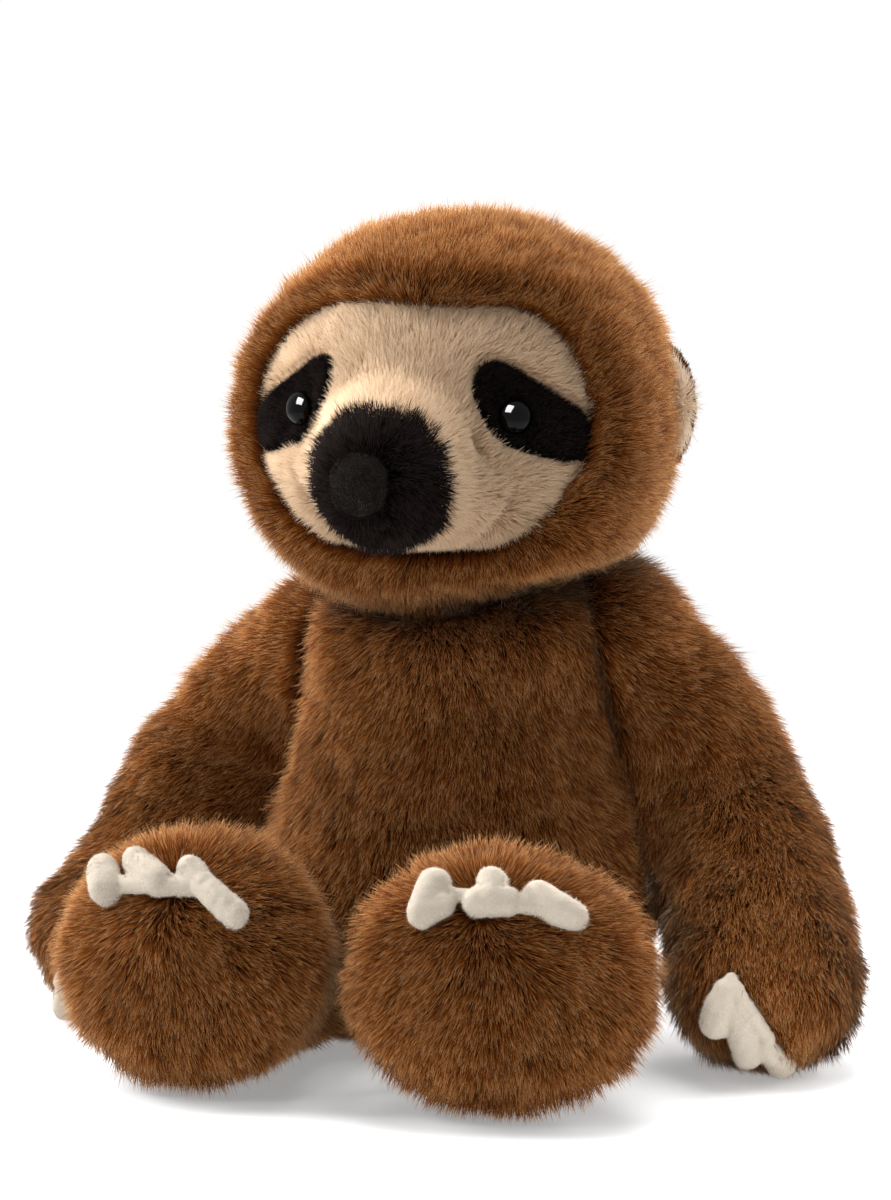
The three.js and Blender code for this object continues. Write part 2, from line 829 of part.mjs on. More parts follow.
function meshOf([name, material, geometry]) {
  geometry.computeVertexNormals();
  const mesh = new THREE.Mesh(geometry, material);
  mesh.name = name;
  return mesh;
}

const sloth = new THREE.Group();
const rightSide = new THREE.Group();
rightSide.scale.x = -1;
const head = makeHead();
for (const piece of [...makeTorso(), ...head.middle]) {
  sloth.add(meshOf(piece));
}
for (const [name, material, geometry] of [...head.sided, ...makeLimbs()]) {
  sloth.add(meshOf([`${name}_left`, material, geometry]));
  rightSide.add(meshOf([`${name}_right`, material, geometry]));
}
sloth.add(rightSide);

// The origin is the middle of the overall box, on the floor.
sloth.updateMatrixWorld(true);
const box = new THREE.Box3().setFromObject(sloth);
sloth.position.set(-(box.min.x + box.max.x) / 2, -(box.min.y + box.max.y) / 2, -box.min.z);

export default sloth;
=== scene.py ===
"""Looks of a seated plush sloth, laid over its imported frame. Lengths are in metres."""
import logging
import math
from dataclasses import dataclass, field
from enum import Enum
from typing import Callable, Sequence

import bpy
import numpy as np
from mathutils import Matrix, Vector
from mathutils.bvhtree import BVHTree


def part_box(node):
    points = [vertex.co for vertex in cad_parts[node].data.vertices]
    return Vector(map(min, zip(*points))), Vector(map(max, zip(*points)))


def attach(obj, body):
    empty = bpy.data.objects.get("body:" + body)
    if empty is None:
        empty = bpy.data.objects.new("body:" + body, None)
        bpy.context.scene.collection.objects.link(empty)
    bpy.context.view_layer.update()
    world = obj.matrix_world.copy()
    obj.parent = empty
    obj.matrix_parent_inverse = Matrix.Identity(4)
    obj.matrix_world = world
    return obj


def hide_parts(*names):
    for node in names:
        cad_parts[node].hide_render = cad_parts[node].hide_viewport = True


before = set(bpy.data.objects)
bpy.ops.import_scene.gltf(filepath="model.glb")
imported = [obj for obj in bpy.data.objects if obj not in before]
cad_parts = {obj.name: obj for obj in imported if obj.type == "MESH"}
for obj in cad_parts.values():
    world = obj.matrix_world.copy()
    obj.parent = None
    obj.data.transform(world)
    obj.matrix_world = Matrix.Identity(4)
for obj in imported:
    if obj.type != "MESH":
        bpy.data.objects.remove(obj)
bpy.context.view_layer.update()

LOG = logging.getLogger("sloth")

Points = np.ndarray
Field = Callable[[Points], Points]
Ease = tuple[float, float]
Range = tuple[float, float, float, float]
Place = tuple[float, float, float]
UP = np.array([0.0, 0.0, 1.0])
TINY = 1e-9
WELD = 1e-6
PUFF_FRAMES = 20
# The backing takes the roots' dark colours, partly painted shade at the foot of the pile.
BACKING_PACE = 4.0  # how fast a backing's place on the colour map changes, for each metre
BACKING_EDGE = 0.05  # how far from the map's sides it stays
BACKING_UP, BACKING_RISE = 0.03, 0.02  # how far up the map it lies


# Small helpers


def linear(code: str) -> tuple[float, float, float, float]:
    """Turn a written colour into the linear values that a shader takes.

    Args:
        code: The colour as six hexadecimal digits.

    Returns:
        Red, green, blue and alpha.
    """
    parts = [int(code[i:i + 2], 16) / 255 for i in (0, 2, 4)]
    shades = [p / 12.92 if p <= 0.04045 else ((p + 0.055) / 1.055) ** 2.4 for p in parts]
    return shades[0], shades[1], shades[2], 1.0


def unit(vectors: Points) -> Points:
    """Scale each row to a length of one.

    Args:
        vectors: Rows of three.

    Returns:
        The rows at unit length.
    """
    return vectors / np.maximum(np.linalg.norm(vectors, axis=-1, keepdims=True), TINY)


def sight(side: Points, lift: Points) -> Points:
    """Directions out of the head's middle.

    Args:
        side: Angles towards the toy's left, in degrees from straight ahead.
        lift: Angles above the level, in degrees.

    Returns:
        Unit vectors, one for each pair of angles.
    """
    s, l = np.radians(side), np.radians(lift)
    return np.stack([np.sin(s) * np.cos(l), -np.cos(s) * np.cos(l), np.sin(l)], -1)


def turn_between(a: Points, b: Points) -> Points:
    """The angle between unit vectors.

    Args:
        a: Rows of three.
        b: Rows of three, or one.

    Returns:
        Angles in degrees.
    """
    return np.degrees(np.arccos(np.clip((a * b).sum(-1), -1, 1)))


def deselect() -> None:
    """Leave nothing selected and return to object mode."""
    if bpy.context.mode != "OBJECT":
        bpy.ops.object.mode_set(mode="OBJECT")
    bpy.ops.object.select_all(action="DESELECT")


def activate(obj: bpy.types.Object) -> None:
    """Select one object alone and make it the active one.

    Args:
        obj: The object.
    """
    deselect()
    obj.select_set(True)
    bpy.context.view_layer.objects.active = obj


def apply_modifiers(obj: bpy.types.Object) -> None:
    """Apply every modifier of an object, in order.

    Args:
        obj: The object.
    """
    activate(obj)
    for modifier in list(obj.modifiers):
        bpy.ops.object.modifier_apply(modifier=modifier.name)


def eased(values: Points, start: float, stop: float) -> Points:
    """Rise smoothly from 0 to 1 between two values.

    Args:
        values: The values.
        start: Where the rise starts.
        stop: Where it ends.

    Returns:
        Shares from 0 to 1.
    """
    share = np.clip((values - start) / (stop - start), 0, 1)
    return share * share * (3 - 2 * share)


def between(values: Points, start: float, full: float, fade: float, stop: float) -> Points:
    """Rise smoothly from 0 to 1, stay there, and fall back to 0.

    Args:
        values: The values.
        start: Where the rise starts.
        full: Where it ends.
        fade: Where the fall starts.
        stop: Where it ends.

    Returns:
        Shares from 0 to 1.
    """
    return eased(values, start, full) * (1 - eased(values, fade, stop))


@dataclass(frozen=True)
class Slump:
    """How the toy sits: its chest is drawn in, and its left shoulder and chin ride up.

    A range gives where the change starts, where it is whole, where it fades and where it ends.
    """

    drawn_left: float = 0.006
    drawn_right: float = 0.009
    chest_out: Range = (0.020, 0.060, 0.062, 0.092)
    chest_height: Range = (0.050, 0.085, 0.150, 0.170)
    chest_depth: Ease = (-0.05, -0.02)
    lifted: float = 0.0075
    shoulder_side: Range = (-0.030, 0.015, 0.055, 0.088)
    shoulder_height: Range = (0.100, 0.140, 0.160, 0.182)

    def settled(self, points: Points) -> Points:
        """Carry points from where the solids have them to where they settle.

        Args:
            points: The points.

        Returns:
            The moved points.
        """
        side, depth, height = points.T
        drawn = np.where(side < 0, self.drawn_right, self.drawn_left)
        drawn = drawn * between(np.abs(side), *self.chest_out)
        drawn *= between(height, *self.chest_height) * eased(depth, *self.chest_depth)
        lift = self.lifted * between(side, *self.shoulder_side)
        lift *= between(height, *self.shoulder_height)
        return np.stack([side - np.sign(side) * drawn, depth, height + lift], -1)


SLUMP = Slump()


class Neighbours:
    """The solids that a soft piece is sewn or pressed against, as they have settled."""

    BACK_OFF = 0.001  # how far behind its point a ray starts

    def __init__(self, *nodes: str) -> None:
        """Gather the solids' surfaces.

        Args:
            nodes: The solids' names.
        """
        points: list[Points] = []
        faces: list[tuple[int, ...]] = []
        for node in nodes:
            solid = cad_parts[node]
            start = sum(len(part) for part in points)
            points.append(SLUMP.settled(corners_of(solid)))
            faces += [tuple(i + start for i in polygon.vertices) for polygon in solid.data.polygons]
        self.tree = BVHTree.FromPolygons(np.concatenate(points).tolist(), faces)

    def room(self, points: Points, ways: Points, far: float) -> Points:
        """How far it is to the solids ahead.

        Args:
            points: Where the rays start.
            ways: Their directions.
            far: The distance past which nothing is looked for.

        Returns:
            Distances, none above far.
        """
        start = points - ways * self.BACK_OFF
        found = (self.tree.ray_cast(Vector(a), Vector(b), far)[3] for a, b in zip(start, ways))
        return np.array([far if gap is None else gap for gap in found])

    def touched(self, start: Points, way: Points, otherwise: float) -> Points:
        """Where a ray meets the solids.

        Args:
            start: The ray's start.
            way: Its direction.
            otherwise: How far along the ray the point is where it meets nothing.

        Returns:
            The point.
        """
        hit = self.tree.ray_cast(Vector(start), Vector(way))[0]
        return np.array(hit) if hit else start + way * otherwise


class Drift:
    """A smooth random field over space, made of a few plane waves."""

    PACE = (0.6, 1.5)  # the slowest and the quickest wave, as shares of the span's own

    def __init__(self, seed: int, span: float, count: int = 10) -> None:
        """Choose the waves.

        Args:
            seed: Seed of the random choice.
            span: Length of one wave.
            count: How many waves are summed.
        """
        rng = np.random.default_rng(seed)
        self.waves = unit(rng.normal(size=(count, 3))) * rng.uniform(*self.PACE, (count, 1))
        self.waves *= 2 * math.pi / span
        self.phases = rng.uniform(0, 2 * math.pi, count)

    def __call__(self, points: Points) -> Points:
        """Read the field.

        Args:
            points: Rows of three.

        Returns:
            Values that mostly lie between minus one and one.
        """
        return np.cos(points @ self.waves.T + self.phases).sum(1) / math.sqrt(len(self.phases))


# Finishes


@dataclass(frozen=True)
class PileFinish:
    """A pile fabric, coloured from root to tip up its own map and from dark to light across it. The darker
    roots are partly painted shade down in the pile.
    """

    name: str
    slot: str
    ramp: tuple[tuple[float, str], ...]
    dark: float
    light: float
    roughness: float = 0.8
    sheen: float = 0.0
    sheen_roughness: float = 0.4
    sheen_shade: str = "e3c9aa"

    def material(self) -> bpy.types.Material:
        """Make the material, or return the one made before.

        Returns:
            The material.
        """
        known = bpy.data.materials.get(self.name)
        if known:
            return known
        material = bpy.data.materials.new(self.name)
        material.use_nodes = True
        nodes, links = material.node_tree.nodes, material.node_tree.links
        shader = nodes["Principled BSDF"]
        shader.inputs["Roughness"].default_value = self.roughness
        shader.inputs["Sheen Weight"].default_value = self.sheen
        shader.inputs["Sheen Roughness"].default_value = self.sheen_roughness
        shader.inputs["Sheen Tint"].default_value = linear(self.sheen_shade)
        shader.inputs["Specular IOR Level"].default_value = 0.0
        place = nodes.new("ShaderNodeUVMap")
        place.uv_map = "OFBake"
        split = nodes.new("ShaderNodeSeparateXYZ")
        links.new(place.outputs["UV"], split.inputs[0])
        ramp = nodes.new("ShaderNodeValToRGB")
        elements = ramp.color_ramp.elements
        while len(elements) < len(self.ramp):
            elements.new(0.5)
        for element, (position, code) in zip(elements, self.ramp):
            element.position = position
            element.color = linear(code)
        links.new(split.outputs["Y"], ramp.inputs["Fac"])
        tone = nodes.new("ShaderNodeMapRange")
        tone.inputs["To Min"].default_value = self.dark
        tone.inputs["To Max"].default_value = self.light
        links.new(split.outputs["X"], tone.inputs["Value"])
        shade = nodes.new("ShaderNodeVectorMath")
        shade.operation = "SCALE"
        links.new(ramp.outputs["Color"], shade.inputs[0])
        links.new(tone.outputs["Result"], shade.inputs["Scale"])
        links.new(shade.outputs["Vector"], shader.inputs["Base Color"])
        return material


@dataclass(frozen=True)
class PlasticFinish:
    """A moulded plastic, with a faint unevenness in its polish."""

    name: str
    slot: str
    shade: str
    roughness: float
    index: float
    grain: float = 400
    smoothest: float = 0.7
    roughest: float = 1.4

    def material(self) -> bpy.types.Material:
        """Make the material, or return the one made before.

        Returns:
            The material.
        """
        known = bpy.data.materials.get(self.name)
        if known:
            return known
        material = bpy.data.materials.new(self.name)
        material.use_nodes = True
        nodes, links = material.node_tree.nodes, material.node_tree.links
        shader = nodes["Principled BSDF"]
        shader.inputs["Base Color"].default_value = linear(self.shade)
        shader.inputs["IOR"].default_value = self.index
        where = nodes.new("ShaderNodeTexCoord")
        noise = nodes.new("ShaderNodeTexNoise")
        noise.inputs["Scale"].default_value = self.grain
        links.new(where.outputs["Object"], noise.inputs["Vector"])
        polish = nodes.new("ShaderNodeMapRange")
        polish.inputs["To Min"].default_value = self.roughness * self.smoothest
        polish.inputs["To Max"].default_value = self.roughness * self.roughest
        links.new(noise.outputs["Fac"], polish.inputs["Value"])
        links.new(polish.outputs["Result"], shader.inputs["Roughness"])
        return material


Finish = PileFinish | PlasticFinish

# Brown pile: its dark roots are partly painted shade down in the pile, and its pale tips are partly a
# painted glow where light shines through the tips at the rims; the rest is the fur's own colour.
BROWN_PLUSH = PileFinish(
    "brown_pile", "plush",
    ((0.0, "1a0a02"), (0.4, "3c1c07"), (0.72, "693510"), (0.9, "b07d48"), (1.0, "f6d9b6")),
    0.68, 1.42, sheen=0.3,
)
CREAM_PLUSH = PileFinish(
    "cream_pile", "cream",
    ((0.0, "a27c5a"), (0.4, "c39f7b"), (1.0, "e6ccae")),
    0.85, 1.14,
)
# A lighter copy of the cream pile for the ear linings: painted light, standing in for the light that falls
# short of them.
LIT_EAR_PLUSH = PileFinish(
    "pale_pile", "cream",
    ((0.0, "c4a384"), (0.4, "dfc5a7"), (1.0, "f6e8d6")),
    0.92, 1.12, sheen=0.3,
)
BLACK_PLUSH = PileFinish(
    "jet_pile", "black_plush",
    ((0.0, "040303"), (0.5, "0e0b0a"), (1.0, "2e2725")),
    0.6, 1.5,
)
VELVET = PileFinish(
    "charcoal_velvet", "velvet",
    ((0.0, "12100f"), (0.5, "24201d"), (1.0, "57504a")),
    0.7, 1.4,
)
VELOUR = PileFinish(
    "ivory_velour", "velour",
    ((0.0, "b9ae9f"), (0.5, "d5ccbe"), (1.0, "e7dfd3")),
    0.88, 1.08, roughness=0.85,
)
EYE_GLOSS = PlasticFinish("eye_gloss", "gloss_black", "030303", 0.02, 1.2)
NYLON = PlasticFinish("white_nylon", "nylon", "dcdad2", 0.45, 1.5)


# Skins and pile


@dataclass
class Skin:
    """A triangulated surface that pile grows on, with a normal at each point."""

    points: Points
    faces: Points
    normals: Points

    @classmethod
    def of_object(cls, obj: bpy.types.Object) -> "Skin":
        """Read a mesh object.

        Args:
            obj: The object, with its place in its mesh.

        Returns:
            Its surface.
        """
        mesh = obj.data
        mesh.calc_loop_triangles()
        points = np.zeros(len(mesh.vertices) * 3)
        mesh.vertices.foreach_get("co", points)
        normals = np.zeros(len(mesh.vertices) * 3)
        mesh.vertices.foreach_get("normal", normals)
        faces = np.zeros(len(mesh.loop_triangles) * 3, np.int64)
        mesh.loop_triangles.foreach_get("vertices", faces)
        return cls(points.reshape(-1, 3), faces.reshape(-1, 3), normals.reshape(-1, 3))

    @classmethod
    def of_grid(cls, grid: Points) -> "Skin":
        """Join rows of points, each row closed on itself, into a surface.

        Args:
            grid: Points as rows, columns and three.

        Returns:
            The surface, its faces turned as the rows and columns run.
        """
        rows, columns = grid.shape[:2]
        index = np.arange(rows * columns).reshape(rows, columns)
        a, b = index[:-1], np.roll(index, -1, 1)[:-1]
        c, d = np.roll(index, -1, 1)[1:], index[1:]
        faces = np.concatenate([np.stack(t, -1).reshape(-1, 3) for t in ((a, b, c), (a, c, d))])
        points = grid.reshape(-1, 3)
        return cls(points, faces, cls.vertex_normals(points, faces))

    @staticmethod
    def vertex_normals(points: Points, faces: Points) -> Points:
        """Average the normals of the faces at each point.

        Args:
            points: The points.
            faces: The triangles.

        Returns:
            Unit normals.
        """
        a, b, c = (points[faces[:, i]] for i in range(3))
        across = np.cross(b - a, c - a)
        normals = np.zeros_like(points)
        for i in range(3):
            np.add.at(normals, faces[:, i], across)
        return unit(normals)

    def evened(self, values: Points, rounds: int) -> Points:
        """Even values out over the skin.

        Args:
            values: A value at each point.
            rounds: How many times each one is set to the mean round it.

        Returns:
            The evened values.
        """
        corners = self.faces.ravel()
        count = np.bincount(corners, minlength=len(values))
        for _ in range(rounds):
            middles = np.repeat(values[self.faces].mean(1), 3)
            values = np.bincount(corners, middles, len(values)) / np.maximum(count, 1)
        return values

    def roughened(self, seed: int, waves: Sequence[tuple[float, float]]) -> "Skin":
        """Stir the surface in and out.

        Args:
            seed: Seed of the random choice.
            waves: Pairs of a wave's length and its height.

        Returns:
            The stirred skin.
        """
        height = sum(Drift(seed + k, span)(self.points) * size for k, (span, size) in enumerate(waves))
        points = self.points + self.normals * height[:, None]
        return Skin(points, self.faces, self.vertex_normals(points, self.faces))

    def panel(self, keep: Field) -> "Skin":
        """Cut a panel out of the skin.

        Args:
            keep: Says which face middles belong to the panel.

        Returns:
            The panel, with the whole skin's normals at its edges.
        """
        faces = self.faces[keep(self.points[self.faces].mean(1))]
        used, places = np.unique(faces, return_inverse=True)
        return Skin(self.points[used], places.reshape(-1, 3), self.normals[used])


@dataclass(frozen=True)
class Pile:
    """How a pile stands on its backing. Angles are in degrees, density in strands a square metre."""

    length: float
    density: float
    width: float
    lean: float
    bend: float
    sway: float = 14.0
    scatter: float = 0.16
    ruffle: float = 0.16
    clump: float = 0.0035
    gather: float = 0.3
    tone: float = 0.2
    bands: int = 2


@dataclass
class Strands:
    """Strands of pile as triangles, with the map that colours them."""

    points: Points
    faces: Points
    normals: Points
    places: Points


class Coat:
    """Grows a pile over a skin, combed along a flow.

    Waves are rows of a seed, a length and a size.
    """

    SWIRLS = ((7, 0.045, 1.0), (11, 0.014, 0.6))  # turn the flow, in shares of the sway
    LEANING = ((13, 0.02, 7.0),)  # change the lean, in degrees
    UNEVEN = ((17, 0.012, 0.5),)  # change the length, in shares of the ruffle
    SHADING = ((19, 0.03, 0.10), (23, 0.006, 0.05))  # change the tone
    RAGGED = 0.8  # how much each strand's length differs by itself, in shares of the ruffle
    SPECKLED = 0.55  # how much each strand's tone differs by itself
    TONES = (0.03, 0.97)  # the darkest and the lightest tone
    ROOTED = 0.0004  # how deep in the skin a strand starts
    SHORTEST, LONGEST = 0.06, 1.5  # a strand's length, as shares of the pile's
    PRESSED = 0.18  # what a pressed strand keeps of its length
    FLYAWAY = 1.4  # how much further the upper half strays than the lower
    HELD = (0.3, 1.0)  # how much of the gathering a strand takes
    TUFT = 2.7  # the size of a tuft, in clumps
    LOOSE = 0.35  # what a tuft and a strand's middle take of the gathering
    WARP_LENGTH, WARP_SIZE, WARP_SEED = 3.1, 0.8, 40  # bend the cells of the clumps
    OVER_FLOOR, OVER_FLOOR_MORE = 0.0002, 0.0006  # how far over the floor the pile stays
    NUDGE = 1e-6  # gives a side to a strand that stands square to its backing
    ROLL = 0.9  # how far a strand rolls either way, in radians
    WIDTHS = (0.75, 1.25)  # a strand's width, as shares of the pile's
    NORMAL_SHARES = (0.85, 0.3, 0.15)  # of the skin, the strand's face and its run
    MAP_HALF = 0.004  # half a strand's width on the colour map
    FOOT_UP, MIDDLE_UP, TIP_UP = 0.02, 0.5, 0.98  # places up the colour map
    CELL_PRIMES = np.array([73856093, 19349663, 83492791])  # give each cell of a clump its own number

    def __init__(
        self, pile: Pile, flow: Field, seed: int, trim: Field | None = None,
        against: Neighbours | None = None,
    ) -> None:
        """Keep what the coat is grown from.

        Args:
            pile: How the pile stands.
            flow: The way it is combed at any point.
            seed: Seed of every random choice.
            trim: The share of its length that a strand keeps at any point.
            against: The solids that press it flat.
        """
        self.against = against
        self.pile = pile
        self.flow = flow
        self.seed = seed
        self.trim = trim
        self.rng = np.random.default_rng(seed)

    def roots(self, skin: Skin) -> tuple[Points, Points]:
        """Scatter roots evenly over a skin.

        Args:
            skin: The skin.

        Returns:
            The roots and the skin's normal at each.
        """
        a, b, c = (skin.points[skin.faces[:, i]] for i in range(3))
        areas = np.linalg.norm(np.cross(b - a, c - a), axis=1) / 2
        steps = np.cumsum(areas)
        count = int(steps[-1] * self.pile.density)
        picks = np.searchsorted(steps, self.rng.uniform(0, steps[-1], count))
        picks = np.minimum(picks, len(areas) - 1)
        u, v = self.rng.uniform(0, 1, (2, count, 1))
        u, v = np.where(u + v > 1, 1 - u, u), np.where(u + v > 1, 1 - v, v)
        corners = skin.faces[picks]
        weights = [1 - u - v, u, v]
        points = sum(w * skin.points[corners[:, i]] for i, w in enumerate(weights))
        normals = sum(w * skin.normals[corners[:, i]] for i, w in enumerate(weights))
        return points, unit(normals)

    def gathered(self, roots: Points, tips: Points, size: float, share: Points) -> Points:
        """Draw strands together into clumps.

        Args:
            roots: The strands' roots, which say what clump each belongs to.
            tips: The points that are drawn together.
            size: The size of a clump.
            share: How far each point moves towards its clump's middle, from 0 to 1.

        Returns:
            The moved points.
        """
        first = self.seed + self.WARP_SEED
        waves = [Drift(first + k, size * self.WARP_LENGTH) for k in range(3)]
        warp = np.stack([wave(roots) for wave in waves], -1) * size * self.WARP_SIZE
        cells = np.floor((roots + warp) / size).astype(np.int64)
        keys = cells @ self.CELL_PRIMES
        _, group, sizes = np.unique(keys, return_inverse=True, return_counts=True)
        middle = np.stack([np.bincount(group, tips[:, i]) for i in range(3)], -1)
        middle /= sizes[:, None]
        return tips + (middle[group] - tips) * share

    @staticmethod
    def drifted(points: Points, waves: Sequence[Place]) -> Points:
        """Sum slow waves over the skin.

        Args:
            points: Where.
            waves: Rows of a seed, a length and a size.

        Returns:
            Values.
        """
        return sum(size * Drift(int(seed), length)(points) for seed, length, size in waves)

    def combed(self, roots: Points, normals: Points) -> Points:
        """The way that the pile is combed along the skin, with its swirls.

        Args:
            roots: Where.
            normals: The skin's normal at each root.

        Returns:
            Unit vectors along the skin.
        """
        flow = self.flow(roots)
        flow = unit(flow - normals * (flow * normals).sum(1, keepdims=True))
        swirl = np.radians(self.pile.sway) * self.drifted(roots, self.SWIRLS)[:, None]
        return flow * np.cos(swirl) + np.cross(normals, flow) * np.sin(swirl)

    def lengths(self, roots: Points, normals: Points) -> Points:
        """How long each strand is, cut where it is trimmed and where a neighbour presses on it.

        Args:
            roots: Where.
            normals: The skin's normal at each root.

        Returns:
            Lengths, as a column.
        """
        pile, count = self.pile, len(roots)
        uneven = self.drifted(roots, self.UNEVEN) + self.rng.normal(0, self.RAGGED, count)
        length = pile.length * (1 + pile.ruffle * uneven)
        if self.trim is not None:
            length = length * self.trim(roots)
        if self.against is not None:
            room = self.against.room(roots, normals, 2 * pile.length)
            length = length * np.clip((room + Neighbours.BACK_OFF) / pile.length, self.PRESSED, 1)
        return np.clip(length, self.SHORTEST * pile.length, self.LONGEST * pile.length)[:, None]

    def tones(self, roots: Points) -> Points:
        """How light each strand is, from 0 to 1.

        Args:
            roots: Where.

        Returns:
            Shares across the colour map.
        """
        own = self.pile.tone * self.rng.normal(0, self.SPECKLED, len(roots))
        return np.clip(0.5 + own + self.drifted(roots, self.SHADING), *self.TONES)

    def grow(self, skin: Skin) -> Strands:
        """Grow the pile.

        Args:
            skin: The skin that it stands on.

        Returns:
            The strands.
        """
        pile, rng = self.pile, self.rng
        roots, normals = self.roots(skin)
        count = len(roots)
        flow = self.combed(roots, normals)
        lean = np.radians(pile.lean + self.drifted(roots, self.LEANING))[:, None]
        bend = lean + math.radians(pile.bend)
        stray = rng.normal(0, pile.scatter, (count, 3))
        first = unit(normals * np.cos(lean) + flow * np.sin(lean) + stray)
        second = unit(normals * np.cos(bend) + flow * np.sin(bend) + stray * self.FLYAWAY)
        length = self.lengths(roots, normals)
        foot = roots - normals * self.ROOTED
        middle = foot + first * length * 0.5
        tip = middle + second * length * 0.5
        if pile.gather:
            share = pile.gather * rng.uniform(*self.HELD, (count, 1))
            tip = self.gathered(roots, tip, pile.clump, share)
            tip = self.gathered(roots, tip, pile.clump * self.TUFT, share * self.LOOSE)
            middle = self.gathered(roots, middle, pile.clump, share * self.LOOSE)
        for points in (middle, tip):
            floor = self.OVER_FLOOR + self.OVER_FLOOR_MORE * rng.uniform(0, 1, count)
            points[:, 2] = np.maximum(points[:, 2], floor)
        run = unit(tip - foot)
        roll = rng.uniform(-self.ROLL, self.ROLL, (count, 1))
        across = unit(np.cross(run, normals) + self.NUDGE)
        across = across * np.cos(roll) + np.cross(run, across) * np.sin(roll)
        half = across * pile.width * 0.5 * rng.uniform(*self.WIDTHS, (count, 1))
        tone = self.tones(roots)
        facing = np.cross(run, across)
        facing *= np.sign((facing * normals).sum(1, keepdims=True) + TINY)
        soft = unit(sum(w * way for w, way in zip(self.NORMAL_SHARES, (normals, facing, run))))
        if pile.bands == 2:
            points = np.stack([foot, middle - half, middle + half, tip], 1)
            marks = (
                (0, self.FOOT_UP), (-1, self.MIDDLE_UP), (1, self.MIDDLE_UP), (0, self.TIP_UP)
            )
            pattern = np.array([[0, 2, 1], [1, 2, 3]])
        else:
            points = np.stack([foot - half, foot + half, tip], 1)
            marks = ((-1, self.FOOT_UP), (1, self.FOOT_UP), (0, self.TIP_UP))
            pattern = np.array([[0, 1, 2]])
        places = np.stack([
            np.stack([tone + side * self.MAP_HALF, np.full(count, up)], -1) for side, up in marks
        ], 1)
        size = len(marks)
        faces = (np.arange(count)[:, None, None] * size + pattern).reshape(-1, 3)
        return Strands(
            points.reshape(-1, 3), faces, np.repeat(soft, size, axis=0), places.reshape(-1, 2)
        )


def mesh_object(
    name: str, points: Points, faces: Points, places: Points, normals: Points | None = None,
) -> bpy.types.Object:
    """Make an object from triangles.

    Args:
        name: The object's name.
        points: The points.
        faces: The triangles.
        places: The colour map's place of each point.
        normals: The shading normal at each point, or None for the mesh's own.

    Returns:
        The object, in the scene.
    """
    mesh = bpy.data.meshes.new(name)
    mesh.vertices.add(len(points))
    mesh.vertices.foreach_set("co", points.astype(np.float32).ravel())
    mesh.loops.add(len(faces) * 3)
    mesh.loops.foreach_set("vertex_index", faces.astype(np.int32).ravel())
    mesh.polygons.add(len(faces))
    mesh.polygons.foreach_set("loop_start", np.arange(len(faces), dtype=np.int32) * 3)
    mesh.polygons.foreach_set("use_smooth", np.ones(len(faces), bool))
    layer = mesh.uv_layers.new(name="OFBake")
    layer.uv.foreach_set("vector", places[faces.ravel()].astype(np.float32).ravel())
    mesh.update(calc_edges=True)
    if normals is not None:
        mesh.normals_split_custom_set_from_vertices(normals.tolist())
    obj = bpy.data.objects.new(name, mesh)
    bpy.context.scene.collection.objects.link(obj)
    return obj


def finish_piece(
    obj: bpy.types.Object, finish: Finish, body: str, nodes: Sequence[str] = (),
) -> bpy.types.Object:
    """Dress a piece, set it on its body and report it.

    Args:
        obj: The piece.
        finish: Its finish.
        body: The body that it rides on.
        nodes: The solids that it stands for.

    Returns:
        The piece.
    """
    obj.data.materials.clear()
    obj.data.materials.append(finish.material())
    if nodes:
        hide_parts(*nodes)
    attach(obj, body)
    LOG.info("%s: %d faces on %s", obj.name, len(obj.data.polygons), body)
    return obj


def furred(name: str, skin: Skin, coat: Coat) -> bpy.types.Object:
    """Make one object of a skin and its pile.

    Args:
        name: The object's name.
        skin: The skin.
        coat: The coat that grows on it.

    Returns:
        The object.
    """
    strands = coat.grow(skin)
    spread = np.clip(0.5 + BACKING_PACE * skin.points[:, :2], BACKING_EDGE, 1 - BACKING_EDGE)
    places = np.stack([spread[:, 0], BACKING_UP + BACKING_RISE * spread[:, 1]], -1)
    return mesh_object(
        name,
        np.concatenate([skin.points, strands.points]),
        np.concatenate([skin.faces, strands.faces + len(skin.points)]),
        np.concatenate([places, strands.places]),
        np.concatenate([skin.normals, strands.normals]),
    )


def merged_copy(nodes: Sequence[str]) -> bpy.types.Object:
    """Copy solids into one object with its loose triangles merged.

    Args:
        nodes: The solids' names.

    Returns:
        The object, selected and active.
    """
    deselect()
    for node in nodes:
        copy = bpy.data.objects.new("form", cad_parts[node].data.copy())
        bpy.context.scene.collection.objects.link(copy)
        copy.select_set(True)
        bpy.context.view_layer.objects.active = copy
    if len(nodes) > 1:
        bpy.ops.object.join()
    bpy.ops.object.mode_set(mode="EDIT")
    bpy.ops.mesh.select_all(action="SELECT")
    bpy.ops.mesh.remove_doubles(threshold=WELD)
    bpy.ops.object.mode_set(mode="OBJECT")
    form = bpy.context.active_object
    set_corners(form, SLUMP.settled(corners_of(form)))
    return form


def voxel_form(form: bpy.types.Object, voxel: float, rounds: int) -> None:
    """Remesh an object into its outer form and smooth it.

    Args:
        form: The object.
        voxel: The size of the new faces.
        rounds: Rounds of smoothing.
    """
    activate(form)
    form.data.remesh_voxel_size = voxel
    bpy.ops.object.voxel_remesh()
    keep_largest(form)
    smooth = form.modifiers.new("smooth", "SMOOTH")
    smooth.factor = 0.5
    smooth.iterations = rounds
    apply_modifiers(form)


def corners_of(obj: bpy.types.Object) -> Points:
    """Read an object's points."""
    points = np.zeros(len(obj.data.vertices) * 3)
    obj.data.vertices.foreach_get("co", points)
    return points.reshape(-1, 3)


def set_corners(obj: bpy.types.Object, points: Points) -> None:
    """Write an object's points."""
    obj.data.vertices.foreach_set("co", points.ravel())
    obj.data.update()


